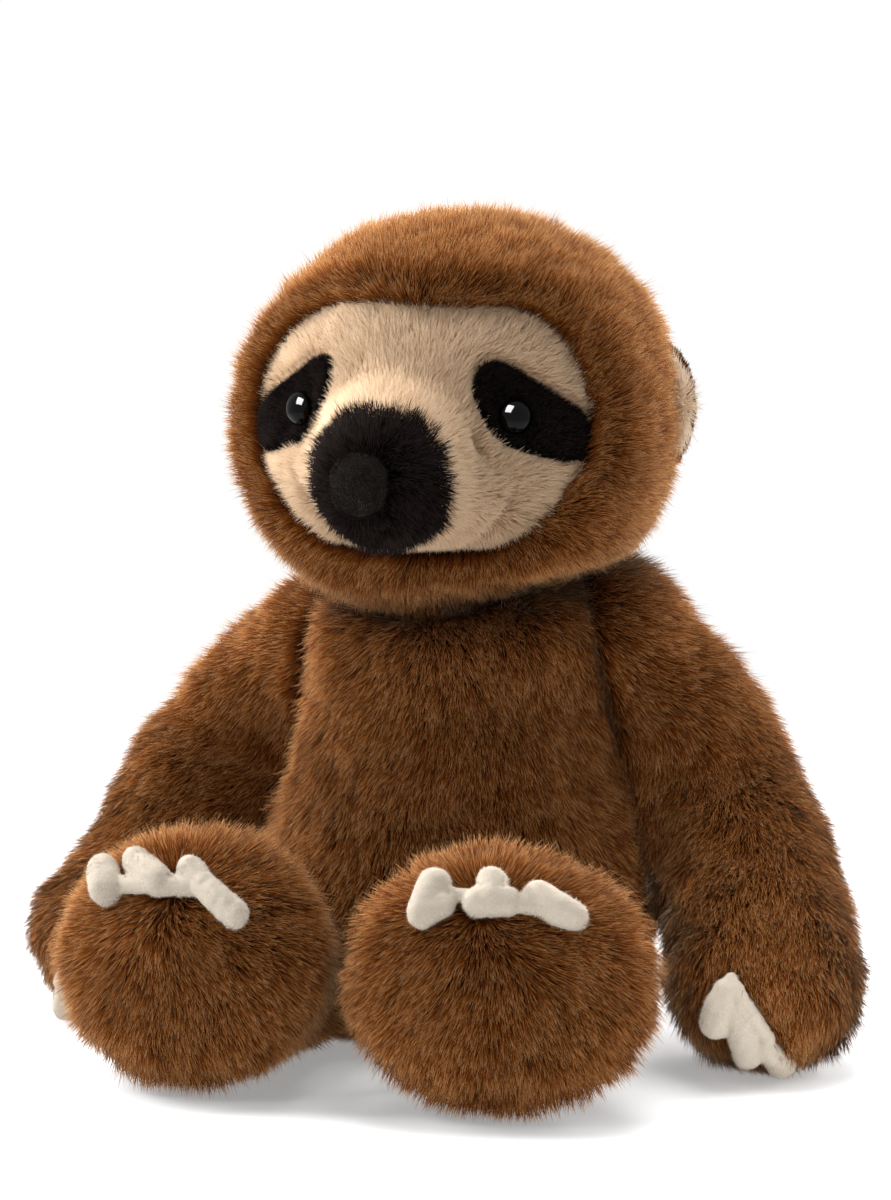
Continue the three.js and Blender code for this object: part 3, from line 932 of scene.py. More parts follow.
def puff(form: bpy.types.Object, cap: float) -> None:
    """Blow a sewn cover up with its stuffing, by a short cloth simulation.

    Args:
        form: The cover.
        cap: How far any point may move.
    """
    before = corners_of(form)
    activate(form)
    cloth = form.modifiers.new("cloth", "CLOTH")
    settings = cloth.settings
    settings.quality = 4
    settings.mass = 0.3
    settings.tension_stiffness = 20
    settings.compression_stiffness = 20
    settings.shear_stiffness = 8
    settings.bending_stiffness = 2
    settings.use_pressure = True
    settings.uniform_pressure_force = 4
    settings.effector_weights.gravity = 0
    cloth.collision_settings.use_collision = False
    cloth.point_cache.frame_start = 1
    cloth.point_cache.frame_end = PUFF_FRAMES
    for step in range(1, PUFF_FRAMES + 1):
        bpy.context.scene.frame_set(step)
    bpy.ops.object.modifier_apply(modifier=cloth.name)
    bpy.context.scene.frame_set(1)
    moved = corners_of(form) - before
    reach = np.linalg.norm(moved, axis=1, keepdims=True)
    set_corners(form, before + moved * np.minimum(1, cap / np.maximum(reach, TINY)))


def keep_largest(obj: bpy.types.Object) -> None:
    """Keep only the loose part with the most points.

    Args:
        obj: The object, which is left selected and active.
    """
    activate(obj)
    bpy.ops.object.mode_set(mode="EDIT")
    bpy.ops.mesh.select_all(action="SELECT")
    bpy.ops.mesh.separate(type="LOOSE")
    bpy.ops.object.mode_set(mode="OBJECT")
    parts = [part for part in bpy.context.selected_objects if part != obj]
    best = max([obj, *parts], key=lambda part: len(part.data.vertices))
    if best != obj:
        obj.data, best.data = best.data, obj.data
    for part in parts:
        bpy.data.objects.remove(part)
    activate(obj)


@dataclass(frozen=True)
class Cover:
    """How a stuffed cover is made over its solids."""

    voxel: float = 0.0045
    rounds: int = 6
    sink: float = 0.0062
    swell: float = 0.0016
    touch: float = 0.002
    reach: float = 0.016
    evening: int = 5

    def skin(
        self, nodes: Sequence[str], against: Neighbours | None = None, fuller: Field | None = None,
    ) -> Skin:
        """Make the backing that the pile stands on.

        It lies under the solids' outside by the depth of the pile, and comes up to it where a
        neighbour leaves the pile no room.

        Args:
            nodes: The solids that the cover stands for.
            against: Its neighbours.
            fuller: How much less it sinks at any point, from 0 to 1.

        Returns:
            The skin.
        """
        form = merged_copy(nodes)
        voxel_form(form, self.voxel, self.rounds)
        start = Skin.of_object(form)
        depth = np.ones(len(start.points))
        if against:
            room = against.room(start.points, start.normals, self.reach)
            depth = start.evened(eased(room, self.touch, self.reach), self.evening)
        if fuller:
            depth = depth * (1 - fuller(start.points))
        set_corners(form, start.points - start.normals * self.sink * depth[:, None])
        puff(form, self.swell)
        smooth = form.modifiers.new("smooth", "SMOOTH")
        smooth.factor = 0.5
        smooth.iterations = 2
        fine = form.modifiers.new("fine", "SUBSURF")
        fine.levels = fine.render_levels = 1
        apply_modifiers(form)
        skin = Skin.of_object(form)
        bpy.data.objects.remove(form)
        return skin


# Sub-assemblies


class Side(Enum):
    """The toy's own two sides."""

    LEFT = 1
    RIGHT = -1

    def named(self, name: str) -> str:
        """A piece's name on this side."""
        return f"{name}_{self.name.lower()}"


AXIS_Y = float(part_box("neck")[0].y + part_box("neck")[1].y) / 2
LONG_PILE = Pile(0.0115, 3.3e6, 0.00025, 42, 20, gather=0.16)
HEAD_PILE = Pile(0.0105, 3.6e6, 0.00024, 34, 20, gather=0.14)
FACE_PILE = Pile(
    0.0062, 6.5e6, 0.00021, 40, 22, sway=16, scatter=0.2, ruffle=0.14, clump=0.0028, gather=0.1, tone=0.16,
)
MUZZLE_PILE = Pile(
    0.0072, 5.0e6, 0.00028, 34, 22, sway=22, scatter=0.24, ruffle=0.25, gather=0.35, tone=0.25,
)
PATCH_NAP = Pile(
    0.0028, 9e6, 0.00026, 45, 20, sway=22, scatter=0.3, ruffle=0.3, clump=0.003, tone=0.3, bands=1,
)
NOSE_NAP = Pile(
    0.0015, 1.7e7, 0.00017, 42, 25, sway=40, scatter=0.4, ruffle=0.3, clump=0.002, tone=0.35, bands=1,
)
EAR_FUR = Pile(0.0026, 4.5e6, 0.00026, 40, 20, scatter=0.2, clump=0.003, gather=0.25)
LINING_NAP = Pile(0.0068, 6e6, 0.00024, 48, 20, scatter=0.2, clump=0.002, gather=0.2)
CLAW_FUZZ = Pile(
    0.0013, 1.0e7, 0.00018, 30, 25, sway=30, scatter=0.5, ruffle=0.35, clump=0.0014, tone=0.35, bands=1,
)


@dataclass
class Torso:
    """The torso's cover in three sewn panels, and the neck under the head."""

    cover: Cover = Cover()
    neck_cover: Cover = Cover(0.003, 4, 0.002, 0.0008)
    fan: float = 26.0
    side_seam: float = AXIS_Y - 0.004
    shoulder_height: Ease = (0.125, 0.147)
    shoulder_out: Ease = (0.015, 0.035)

    def flow(self, points: Points) -> Points:
        """Comb the pile down, fanning out from the neck.

        Args:
            points: Where.

        Returns:
            The way of the pile.
        """
        away = (points - np.array([0, AXIS_Y, 0])) * self.fan
        away[:, 2] = -1
        return away

    def fuller(self, points: Points) -> Points:
        """How much fuller the cover is at the shoulders, where the head and the arms meet it.

        Args:
            points: Where.

        Returns:
            Shares from 0 to 1.
        """
        out = np.abs(points[:, 0])
        return eased(points[:, 2], *self.shoulder_height) * eased(out, *self.shoulder_out)

    def build(self) -> None:
        """Make the panels and the neck."""
        covers = [side.named(n) for side in Side for n in ("arm_cover", "leg_cover")]
        limbs, around = Neighbours(*covers), Neighbours("head_hood", *covers)
        skin = self.cover.skin(["body_cover", "body_stuffing"], around, self.fuller)
        panels = {
            "belly_panel": lambda p: p[:, 1] < self.side_seam,
            "back_panel_left": lambda p: (p[:, 1] >= self.side_seam) & (p[:, 0] >= 0),
            "back_panel_right": lambda p: (p[:, 1] >= self.side_seam) & (p[:, 0] < 0),
        }
        for k, (name, keep) in enumerate(panels.items()):
            coat = Coat(LONG_PILE, self.flow, 100 + k, against=limbs)
            piece = furred(name, skin.panel(keep), coat)
            nodes = ["body_cover", "body_stuffing", "seat_pellet_bag"] if k == 0 else []
            finish_piece(piece, BROWN_PLUSH, "torso", nodes)
        neck = self.neck_cover.skin(["neck"])
        piece = furred("neck_plush", neck, Coat(LONG_PILE, self.flow, 110))
        finish_piece(piece, BROWN_PLUSH, "neck_ball", ["neck"])


EVENING_TURNS = (-7, -3, 0, 3, 7)  # the turns aside, in degrees, that an outline is evened over


@dataclass(frozen=True)
class HeadForm:
    """The head's outside as a distance from its middle, the same one as in the solids."""

    height: float = 0.218
    half_width: float = 0.0765
    half_depth: float = 0.0695
    half_height: float = 0.0685
    fullness: float = 2.15
    jowl: float = 0.06
    lean: float = 0.0042
    lean_height: Ease = (0.004, 0.050)
    face_drop: float = 0.008
    snout_dip: float = 12.0
    snout_rise: float = 0.029
    snout_angle: float = 20.0
    snout_power: float = 3.0
    eye_side: float = 39.5
    eye_lift: float = 3.5
    socket_depth: float = 0.006
    socket_angle: float = 17.0
    muzzle_outline: tuple[tuple[float, float], ...] = (
        (-90, 18.5), (-60, 19), (-40, 18.6), (-15, 16.2), (5, 15.2),
        (30, 16), (50, 17.2), (65, 16.9), (90, 15.4),
    )
    creases: tuple[tuple[tuple[float, float], ...], ...] = (
        ((22.0, -1.0), (24.9, -6.4), (28.5, -11.0)),
        ((21.0, -41.5), (32.0, -31.1), (36.2, -24.9), (39.5, -17.5)),
    )
    crease_depth: float = 0.0022
    crease_width: float = 2.2
    crease_ends: Ease = (0.1, 0.8)
    outline: tuple[tuple[float, float], ...] = (
        (-90, 34), (-60, 38), (-35, 45), (-20, 50.5), (-5, 60), (10, 64.5),
        (25, 66), (40, 65), (55, 62), (68, 57), (80, 52.5), (90, 51),
    )
    chin_drop: Ease = (0.024, 0.048)
    chin_comb: float = 0.12
    nape_depth: Ease = (-0.010, 0.035)
    nape_comb: float = 0.2
    snout_comb: float = 0.2

    def leaned(self, skin: Skin) -> Skin:
        """Let the crown sag a little to the toy's left, as it does where it sits.

        Args:
            skin: A skin of the head.

        Returns:
            The sagged skin.
        """
        way = np.zeros_like(skin.points)
        low, high = self.lean_height
        way[:, 0] = self.lean * eased(skin.points[:, 2], self.height + low, self.height + high)
        return Skin(SLUMP.settled(skin.points) + way, skin.faces, skin.normals)

    @property
    def middle(self) -> Points:
        """The head's middle."""
        return np.array([0, AXIS_Y, self.height])

    @property
    def snout(self) -> Points:
        """The way that the snout points."""
        return sight(0.0, -self.snout_dip)

    @property
    def crown(self) -> Points:
        """Upwards, square to the snout."""
        return np.cross(self.snout, np.array([1.0, 0, 0]))

    def block(self, ways: Points, inset: float = 0.0) -> Points:
        """Distance to the hood's outside, or to a form that lies within it.

        Args:
            ways: Unit vectors.
            inset: How far within it lies.

        Returns:
            Distances.
        """
        halves = np.array([self.half_width, self.half_depth, self.half_height]) - inset
        taper = 1 - self.jowl * ways[..., 2:]
        shares = ways / halves / np.concatenate([taper, taper, np.ones_like(taper)], -1)
        return (np.abs(shares) ** self.fullness).sum(-1) ** (-1 / self.fullness)

    def fold(self, ways: Points) -> Points:
        """How far into a crease of the cheeks each direction lies, from 0 to 1.

        Args:
            ways: Unit vectors.

        Returns:
            Shares of the creases' depth.
        """
        side = np.abs(np.degrees(np.arctan2(ways[..., 0], -ways[..., 1])))
        here = np.stack([side, np.degrees(np.arcsin(np.clip(ways[..., 2], -1, 1)))], -1)
        depth = np.zeros(here.shape[:-1])
        for crease in self.creases:
            corners = np.array(crease)
            for k, (start, stop) in enumerate(zip(corners[:-1], corners[1:])):
                run = stop - start
                along = np.clip(((here - start) @ run) / (run @ run), 0, 1)
                gap = np.linalg.norm(here - start - along[..., None] * run, axis=-1)
                place = (k + along) / (len(corners) - 1)
                across = np.exp(-((gap / self.crease_width) ** 2))
                rise = self.crease_ends[0] + self.crease_ends[1] * place
                depth = np.maximum(depth, across * np.sin(math.pi * rise))
        return depth

    def face(self, ways: Points) -> Points:
        """Distance to the face's outside, with its snout and eye sockets.

        Args:
            ways: Unit vectors.

        Returns:
            Distances.
        """
        base = self.block(ways, self.face_drop)
        angle = turn_between(ways, self.snout)
        swell = self.snout_rise * np.exp(-((angle / self.snout_angle) ** self.snout_power))
        eye = sight(self.eye_side, self.eye_lift)
        eyes = np.where(ways[..., :1] >= 0, eye, eye * np.array([-1, 1, 1]))
        dip = self.socket_depth * np.exp(-((turn_between(ways, eyes) / self.socket_angle) ** 2))
        return base + swell - dip - self.crease_depth * self.fold(ways)

    def edge(self, turn: Points) -> Points:
        """Angle of the face panel's edge from the snout.

        Args:
            turn: Turn round the snout, in degrees from the toy's left.

        Returns:
            Angles in degrees.
        """
        return self.outlined(turn, self.outline)

    @staticmethod
    def outlined(turn: Points, outline: Sequence[tuple[float, float]]) -> Points:
        """Read a mirrored outline, smoothed.

        Args:
            turn: Turn round the snout, in degrees from the toy's left.
            outline: Pairs of a turn, from -90 to 90, and an angle.

        Returns:
            Angles in degrees.
        """
        folded = np.degrees(np.arcsin(np.clip(np.sin(np.radians(turn)), -1, 1)))
        table = np.array(outline)
        turns = [np.clip(folded + aside, -90, 90) for aside in EVENING_TURNS]
        return sum(np.interp(turn, table[:, 0], table[:, 1]) for turn in turns) / len(turns)

    def around(self, turn: Points, angle: Points) -> Points:
        """Directions at a turn round the snout and an angle from it.

        Args:
            turn: Turns in degrees.
            angle: Angles in degrees.

        Returns:
            Unit vectors.
        """
        t, a = np.radians(turn)[..., None], np.radians(angle)[..., None]
        side = np.array([1.0, 0, 0])
        return np.cos(a) * self.snout + np.sin(a) * (np.cos(t) * side + np.sin(t) * self.crown)

    def away(self, points: Points) -> Points:
        """Comb the pile away from the snout, and straight down over the chin and the nape.

        Args:
            points: Where.

        Returns:
            The way of the pile.
        """
        chin = eased(self.height - points[:, 2:], *self.chin_drop)
        nape = eased(points[:, 1:2] - AXIS_Y, *self.nape_depth)
        down = self.chin_comb * chin + self.nape_comb * nape
        return (points - self.middle) - self.snout * self.snout_comb - UP * down


@dataclass
class Head:
    """The hood, face, muzzle, nose, eyes and ears."""

    form: HeadForm = field(default_factory=HeadForm)
    columns: int = 120
    hood_rows: int = 70
    face_rows: int = 60
    muzzle_rows: int = 20
    hood_end: float = 179.5
    muzzle_start: float = 0.5
    face_tuck: float = 1.5
    muzzle_tuck: float = 0.4
    hood_sink: float = 0.0058
    face_sink: float = 0.0030
    muzzle_sink: float = 0.0042
    rim: float = 6.0
    under_slope: float = 1.6
    under_start: float = 0.6
    under_share: float = 0.6
    gusset_half: float = 0.030
    gusset_low: float = 0.02
    patch_reach: Ease = (0.6, 2.6)
    patch_keep: Ease = (0.12, 0.55)
    patch_rings: int = 18
    patch_lift: float = 0.0004
    patch_edge: float = -0.0012
    crease_cut: float = 0.65
    hem_cut: float = 0.5
    chin_hem: Ease = (-0.182, -0.176)
    nose_size: Place = (0.0094, 0.0082, 0.0105)
    nose_shift: Place = (0.0, 0.0012, -0.0016)
    nose_bulge: float = 0.06
    nose_power: float = 0.92
    nose_tilt: float = 1.0
    eye_radius: float = 0.0061
    eye_dome: float = 0.0050
    eye_proud: float = 0.0014
    eye_thick: float = 0.0016
    eye_bevel: float = 0.96
    eye_back: float = 0.3
    ear_heart: float = 0.0705
    ear_cover: Cover = Cover(0.0014, 4, 0.0022, 0.0004)
    lining_cover: Cover = Cover(0.0010, 4, 0.0004, 0.0002)

    @property
    def turns(self) -> Points:
        """The turns round the snout at which the head has its columns, in degrees."""
        return np.arange(self.columns) * 360 / self.columns

    def zone(self, start: Points, stop: Points, rows: int, radius: Field) -> Skin:
        """A stretch of the head between two angles from the snout.

        Args:
            start: The angle that it starts at, for each column.
            stop: The angle that it stops at, for each column.
            rows: How many rows of faces.
            radius: Distance from the head's middle along unit vectors.

        Returns:
            The skin.
        """
        shares = np.linspace(0, 1, rows + 1)[:, None]
        angles = start + (stop - start) * shares
        ways = self.form.around(np.broadcast_to(self.turns, angles.shape), angles)
        grid = self.form.middle + ways * radius(ways)[..., None]
        return self.form.leaned(Skin.of_grid(grid[:, ::-1]))

    def hood_radius(self, ways: Points) -> Points:
        """Distance to the hood's skin, which rises from the face at its rim.

        Args:
            ways: Unit vectors.

        Returns:
            Distances.
        """
        form = self.form
        angle = turn_between(ways, form.snout)
        turn = np.degrees(np.arctan2(ways @ form.crown, ways[..., 0]))
        rise = eased(angle - form.edge(turn), 0, self.rim)
        low = form.face(ways) - self.face_sink
        under = np.clip(-self.under_slope * ways[..., 2] - self.under_start, 0, 1)
        high = form.block(ways) - self.hood_sink * (1 - self.under_share * under)
        return low + (high - low) * rise

    def build(self) -> None:
        """Make every piece of the head."""
        patches = [self.patch_outline(side) for side in Side]
        edge = self.form.edge(self.turns)
        muzzle_edge = self.form.outlined(self.turns, self.form.muzzle_outline)
        self.build_hood(edge)
        self.build_face(muzzle_edge, edge, patches)
        self.build_muzzle(muzzle_edge)
        self.build_nose()
        for side, outline in zip(Side, patches):
            self.build_patch(side, outline)
            self.build_eye(side)
            self.build_ear(side)

    def build_hood(self, edge: Points) -> None:
        """Make the hood: a gusset over the crown and a panel on each side.

        Args:
            edge: Where it starts, as an angle from the snout for each column.
        """
        form = self.form
        stop = np.full(self.columns, self.hood_end)
        hood = self.zone(edge, stop, self.hood_rows, self.hood_radius)
        gusset_edge = form.height - self.gusset_low
        in_gusset = lambda p: (np.abs(p[:, 0]) < self.gusset_half) & (p[:, 2] > gusset_edge)
        panels = {
            "hood_gusset": in_gusset,
            "hood_side_left": lambda p: ~in_gusset(p) & (p[:, 0] >= 0),
            "hood_side_right": lambda p: ~in_gusset(p) & (p[:, 0] < 0),
        }
        for k, (name, keep) in enumerate(panels.items()):
            piece = furred(name, hood.panel(keep), Coat(HEAD_PILE, form.away, 200 + k))
            nodes = ["head_hood", "head_stuffing"] if k == 0 else []
            finish_piece(piece, BROWN_PLUSH, "head", nodes)

    def build_face(self, start: Points, stop: Points, patches: Sequence[Points]) -> None:
        """Make the face panel, its pile cut short under the eye patches and in the creases.

        Args:
            start: Where it starts, as an angle from the snout for each column.
            stop: Where it stops.
            patches: The eye patches' outlines.
        """
        form = self.form
        radius = lambda w: form.face(w) - self.face_sink
        face = self.zone(start, stop + self.face_tuck, self.face_rows, radius)
        near, far = self.patch_reach
        under, beside = self.patch_keep
        clear = lambda p, grow: ~np.any([self.inside(p, outline, grow) for outline in patches], axis=0)
        open_to = lambda p: np.where(clear(p, near), np.where(clear(p, far), 1.0, beside), under)
        creased = lambda p: 1 - self.crease_cut * form.fold(unit(p - form.middle))
        hemmed = lambda p: 1 - self.hem_cut * eased(-p[:, 2], *self.chin_hem)
        coat = Coat(FACE_PILE, form.away, 210, lambda p: open_to(p) * creased(p) * hemmed(p))
        finish_piece(furred("face_plush", face, coat), CREAM_PLUSH, "head", ["face_panel"])

    def build_muzzle(self, stop: Points) -> None:
        """Make the black end of the snout.

        Args:
            stop: Where it stops, as an angle from the snout for each column.
        """
        start = np.full(self.columns, self.muzzle_start)
        radius = lambda w: self.form.face(w) - self.muzzle_sink
        muzzle = self.zone(start, stop + self.muzzle_tuck, self.muzzle_rows, radius)
        piece = furred("muzzle_plush", muzzle, Coat(MUZZLE_PILE, self.form.away, 211))
        finish_piece(piece, BLACK_PLUSH, "head", ["muzzle_patch"])

    @staticmethod
    def patch_outline(side: Side) -> Points:
        """The eye patch's outline, as angles to the side and above the level.

        Args:
            side: The side that it is on.

        Returns:
            Pairs of angles in degrees, smoothed.
        """
        corners = np.array([
            (30, 21), (26, 17), (25.5, 11), (28, 4), (31.5, -2), (37, -6), (45, -8.7), (53, -10),
            (60, -9.5), (63.5, -6), (62.5, 0), (58.5, 5), (51, 10.5), (44, 15), (37, 19.5),
        ], float)
        steps = np.linspace(0, len(corners), 90, endpoint=False)
        low = np.floor(steps).astype(int)
        share = (steps - low)[:, None]
        p0, p1, p2, p3 = (corners[(low + k) % len(corners)] for k in (-1, 0, 1, 2))
        smooth = 0.5 * (
            2 * p1 + (p2 - p0) * share + (2 * p0 - 5 * p1 + 4 * p2 - p3) * share ** 2
            + (3 * p1 - p0 - 3 * p2 + p3) * share ** 3
        )
        return smooth * np.array([side.value, 1])

    def angles(self, points: Points) -> Points:
        """Angles to the side and above the level of points, seen from the head's middle.

        Args:
            points: The points.

        Returns:
            Pairs of angles in degrees.
        """
        ways = unit(points - self.form.middle)
        side = np.degrees(np.arctan2(ways[:, 0], -ways[:, 1]))
        return np.stack([side, np.degrees(np.arcsin(np.clip(ways[:, 2], -1, 1)))], -1)

    def inside(self, points: Points, outline: Points, grow: float) -> Points:
        """Which points lie inside an outline.

        Args:
            points: The points.
            outline: Pairs of angles.
            grow: How far the outline is grown, in degrees.

        Returns:
            True for each point inside.
        """
        middle = outline.mean(0)
        spread = outline - middle
        reach = np.linalg.norm(spread, axis=1)
        bearing = np.arctan2(spread[:, 1], spread[:, 0])
        order = np.argsort(bearing)
        away = self.angles(points) - middle
        turned = np.arctan2(away[:, 1], away[:, 0])
        limit = np.interp(turned, bearing[order], reach[order], period=2 * math.pi)
        return np.linalg.norm(away, axis=1) < limit + grow

    def build_patch(self, side: Side, outline: Points) -> None:
        """Make an eye patch: black velvety cloth that lies on the face.

        Args:
            side: The side that it is on.
            outline: Its outline as angles.
        """
        form = self.form
        middle = outline.mean(0)
        rings = np.linspace(0.02, 1, self.patch_rings)[:, None, None]
        angles = middle + (outline - middle) * rings
        ways = sight(angles[..., 0], angles[..., 1])
        lift = np.where(rings[..., 0] == 1, self.patch_edge, self.patch_lift) * np.ones(len(outline))
        grid = form.middle + ways * (form.face(ways) + lift)[..., None]
        if side is Side.LEFT:
            grid = grid[:, ::-1]
        skin = form.leaned(Skin.of_grid(grid))
        piece = furred(side.named("eye_patch_nap"), skin, Coat(PATCH_NAP, form.away, 220))
        finish_piece(piece, BLACK_PLUSH, "head", [side.named("eye_patch")])

    def build_nose(self) -> None:
        """Make the stuffed velvet nose."""
        low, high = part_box("nose")
        bpy.ops.mesh.primitive_uv_sphere_add(segments=64, ring_count=32, radius=1)
        nose = bpy.context.active_object
        points = corners_of(nose)
        bulge = 1 + self.nose_bulge * np.clip(points[:, 2], 0, 1)[:, None] * np.array([1, 0, 0])
        points = np.sign(points) * np.abs(points) ** self.nose_power * bulge
        turn = math.radians(-self.form.snout_dip + self.nose_tilt)
        points = points * np.array(self.nose_size)
        cos, sin = math.cos(-turn), math.sin(-turn)
        y, z = points[:, 1].copy(), points[:, 2].copy()
        points[:, 1], points[:, 2] = y * cos + z * sin, -y * sin + z * cos
        points += np.array([0, (low.y + high.y) / 2, (low.z + high.z) / 2]) + self.nose_shift
        set_corners(nose, points)
        skin = Skin.of_object(nose)
        bpy.data.objects.remove(nose)
        piece = furred("nose_velvet", skin, Coat(NOSE_NAP, lambda p: p - UP * 0.3, 230))
        finish_piece(piece, VELVET, "head", ["nose"])

    def build_eye(self, side: Side) -> None:
        """Make the dome of a safety eye, which its shank and its washer hold.

        Args:
            side: The side that it is on.
        """
        form = self.form
        way = sight(form.eye_side * side.value, form.eye_lift)
        seat = form.middle + way * (float(form.face(way[None])[0]) + self.eye_proud)
        radius, rises = self.eye_radius, np.linspace(0.12, math.pi / 2 - 0.05, 12)
        profile = [
            (radius * self.eye_back, -self.eye_thick), (radius * self.eye_bevel, -self.eye_thick),
            (radius, -self.eye_thick / 2), (radius, 0.0),
        ]
        profile += [(radius * math.cos(a), self.eye_dome * math.sin(a)) for a in rises]
        turns = np.linspace(0, 2 * math.pi, 48, endpoint=False)
        grid = np.array([[(r * math.cos(t), r * math.sin(t), h) for t in turns] for r, h in profile])
        self.place_turned(side.named("eye_dome"), grid, way, seat, EYE_GLOSS, [side.named("eye")])

    def place_turned(
        self, name: str, grid: Points, way: Points, seat: Points, finish: Finish, nodes: Sequence[str],
    ) -> None:
        """Close a turned grid at both ends, point it out of the head and finish it.

        Args:
            name: The piece's name.
            grid: Rows of points round the Z axis.
            way: The way that its axis points.
            seat: Where its origin goes.
            finish: Its finish.
            nodes: The solids that it stands for.
        """
        side = unit(np.cross(UP, way))
        top = np.cross(way, side)
        rows, columns = grid.shape[:2]
        ends = np.array([grid[0].mean(0), grid[-1].mean(0)])
        skin = Skin.of_grid(grid)
        index = np.arange(rows * columns).reshape(rows, columns)
        first, last = index[0], index[-1]
        caps = [
            np.stack([np.full(columns, rows * columns), np.roll(first, -1), first], -1),
            np.stack([np.full(columns, rows * columns + 1), last, np.roll(last, -1)], -1),
        ]
        points = np.concatenate([skin.points, ends])
        points = seat + points[:, :1] * side + points[:, 1:2] * top + points[:, 2:] * way
        faces = np.concatenate([skin.faces, *caps])
        places = np.full((len(points), 2), 0.5) + points[:, :2]
        piece = mesh_object(name, points, faces, places)
        piece.data.uv_layers.remove(piece.data.uv_layers[0])
        finish_piece(piece, finish, "head", nodes)

    def build_ear(self, side: Side) -> None:
        """Make an ear: a brown back and a cream lining, the lining painted lighter than the face's cream
        as if more light fell on it.

        Args:
            side: The side that it is on.
        """
        low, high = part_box(side.named("ear"))
        heart = np.array([side.value * self.ear_heart, (low.y + high.y) / 2, (low.z + high.z) / 2])
        outward = lambda p: p - heart
        back = self.ear_cover.skin([side.named("ear")])
        piece = furred(side.named("ear_back"), back, Coat(EAR_FUR, outward, 230))
        finish_piece(piece, BROWN_PLUSH, "head", [side.named("ear")])
        lining = self.lining_cover.skin([side.named("ear_lining")])
        piece = furred(side.named("ear_front"), lining, Coat(LINING_NAP, outward, 231))
        finish_piece(piece, LIT_EAR_PLUSH, "head", [side.named("ear_lining")])


@dataclass(frozen=True)
class Lobe:
    """One stuffed claw or web, from a root to a tip.

    Each end has its place across, its place up and its radius.
    """

    root: Place
    tip: Place


FOOT_LOBES = {
    Side.LEFT: (
        Lobe((-0.0200, 0.0056, 0.0058), (-0.0230, -0.0034, 0.0053)),
        Lobe((-0.0232, -0.0040, 0.0050), (-0.0165, -0.0008, 0.0042)),
        Lobe((-0.0011, 0.0068, 0.0054), (-0.0008, 0.0020, 0.0058)),
        Lobe((-0.0050, 0.0008, 0.0050), (0.0044, 0.0008, 0.0050)),
        Lobe((0.0144, 0.0034, 0.0050), (0.0205, -0.0010, 0.0058)),
        Lobe((0.0205, -0.0010, 0.0058), (0.0264, -0.0034, 0.0048)),
        Lobe((-0.0180, 0.0028, 0.0026), (-0.0050, 0.0022, 0.0026)),
        Lobe((0.0040, 0.0008, 0.0034), (0.0150, -0.0004, 0.0034)),
    ),
    Side.RIGHT: (
        Lobe((-0.0288, 0.0010, 0.0060), (-0.0250, -0.0046, 0.0061)),
        Lobe((-0.0166, 0.0052, 0.0050), (-0.0055, 0.0000, 0.0058)),
        Lobe((0.0051, 0.0044, 0.0050), (0.0250, -0.0084, 0.0052)),
        Lobe((-0.0220, -0.0034, 0.0032), (-0.0100, -0.0016, 0.0032)),
        Lobe((-0.0100, -0.0018, 0.0034), (0.0070, -0.0008, 0.0034)),
    ),
}
HAND_LOBES = (
    Lobe((-0.0070, 0.0120, 0.0042), (-0.0106, 0.0004, 0.0054)),
    Lobe((-0.0040, 0.0060, 0.0034), (-0.0006, -0.0092, 0.0057)),
    Lobe((0.0060, -0.0080, 0.0036), (0.0098, -0.0130, 0.0052)),
    Lobe((-0.0052, 0.0160, 0.0024), (0.0010, 0.0040, 0.0028)),
    Lobe((-0.0026, 0.0130, 0.0024), (0.0064, -0.0040, 0.0030)),
)


@dataclass
class Claws:
    """A strip of stuffed velour claws that lies on what carries it."""

    node: str
    body: str
    lobes: Sequence[Lobe]
    turn: float
    mirrored: float
    carriers: Neighbours
    shift: float = 0.0
    rise: float = 0.0
    stand: float = 0.3
    slope: float = 8.0
    flatness: float = 0.78
    beads: int = 7
    voxel: float = 0.0009
    rounds: int = 6
    probe: float = 0.06
    comb: Place = (0.0, -0.2, -1.0)
    creping: tuple[tuple[float, float], ...] = ((0.016, 0.0002), (0.006, 0.0001), (0.0024, 0.00006))

    def build(self) -> None:
        """Make the strip from beads along each lobe, run together."""
        low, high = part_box(self.node)
        middle = np.array((low + high) / 2)
        middle[0] += self.shift
        middle[2] += self.rise
        turn, slope = math.radians(self.turn), math.radians(self.slope)
        across = np.array([math.cos(turn), math.sin(turn), 0])
        outwards = np.array(
            [math.sin(turn) * math.cos(slope), -math.cos(turn) * math.cos(slope), math.sin(slope)]
        )
        deselect()
        for lobe in self.lobes:
            for share in np.linspace(0, 1, self.beads):
                u, w, radius = (a + (b - a) * share for a, b in zip(lobe.root, lobe.tip))
                place = middle + across * u * self.mirrored + UP * w
                touch = self.carriers.touched(place + outwards * self.probe, -outwards, self.probe)
                self.add_bead(touch + outwards * radius * self.stand, radius, turn)
        bpy.ops.object.join()
        form = bpy.context.active_object
        voxel_form(form, self.voxel, self.rounds)
        fine = Skin.of_object(form).roughened(31, self.creping)
        bpy.data.objects.remove(form)
        down = lambda p: np.tile(self.comb, (len(p), 1))
        piece = furred(self.node + "_velour", fine, Coat(CLAW_FUZZ, down, 500))
        finish_piece(piece, VELOUR, self.body, [self.node])

    def add_bead(self, place: Points, radius: float, turn: float) -> None:
        """Add a bead of stuffing to the selected ones.

        Args:
            place: Its middle.
            radius: Its radius.
            turn: The turn of the side that it is flattened on, in radians.
        """
        chosen = list(bpy.context.selected_objects)
        bpy.ops.mesh.primitive_uv_sphere_add(
            segments=20, ring_count=12, radius=1, location=place, rotation=(0, 0, turn),
        )
        bead = bpy.context.active_object
        bead.scale = (radius, radius * self.flatness, radius)
        bpy.ops.object.transform_apply()
        for obj in chosen:
            obj.select_set(True)


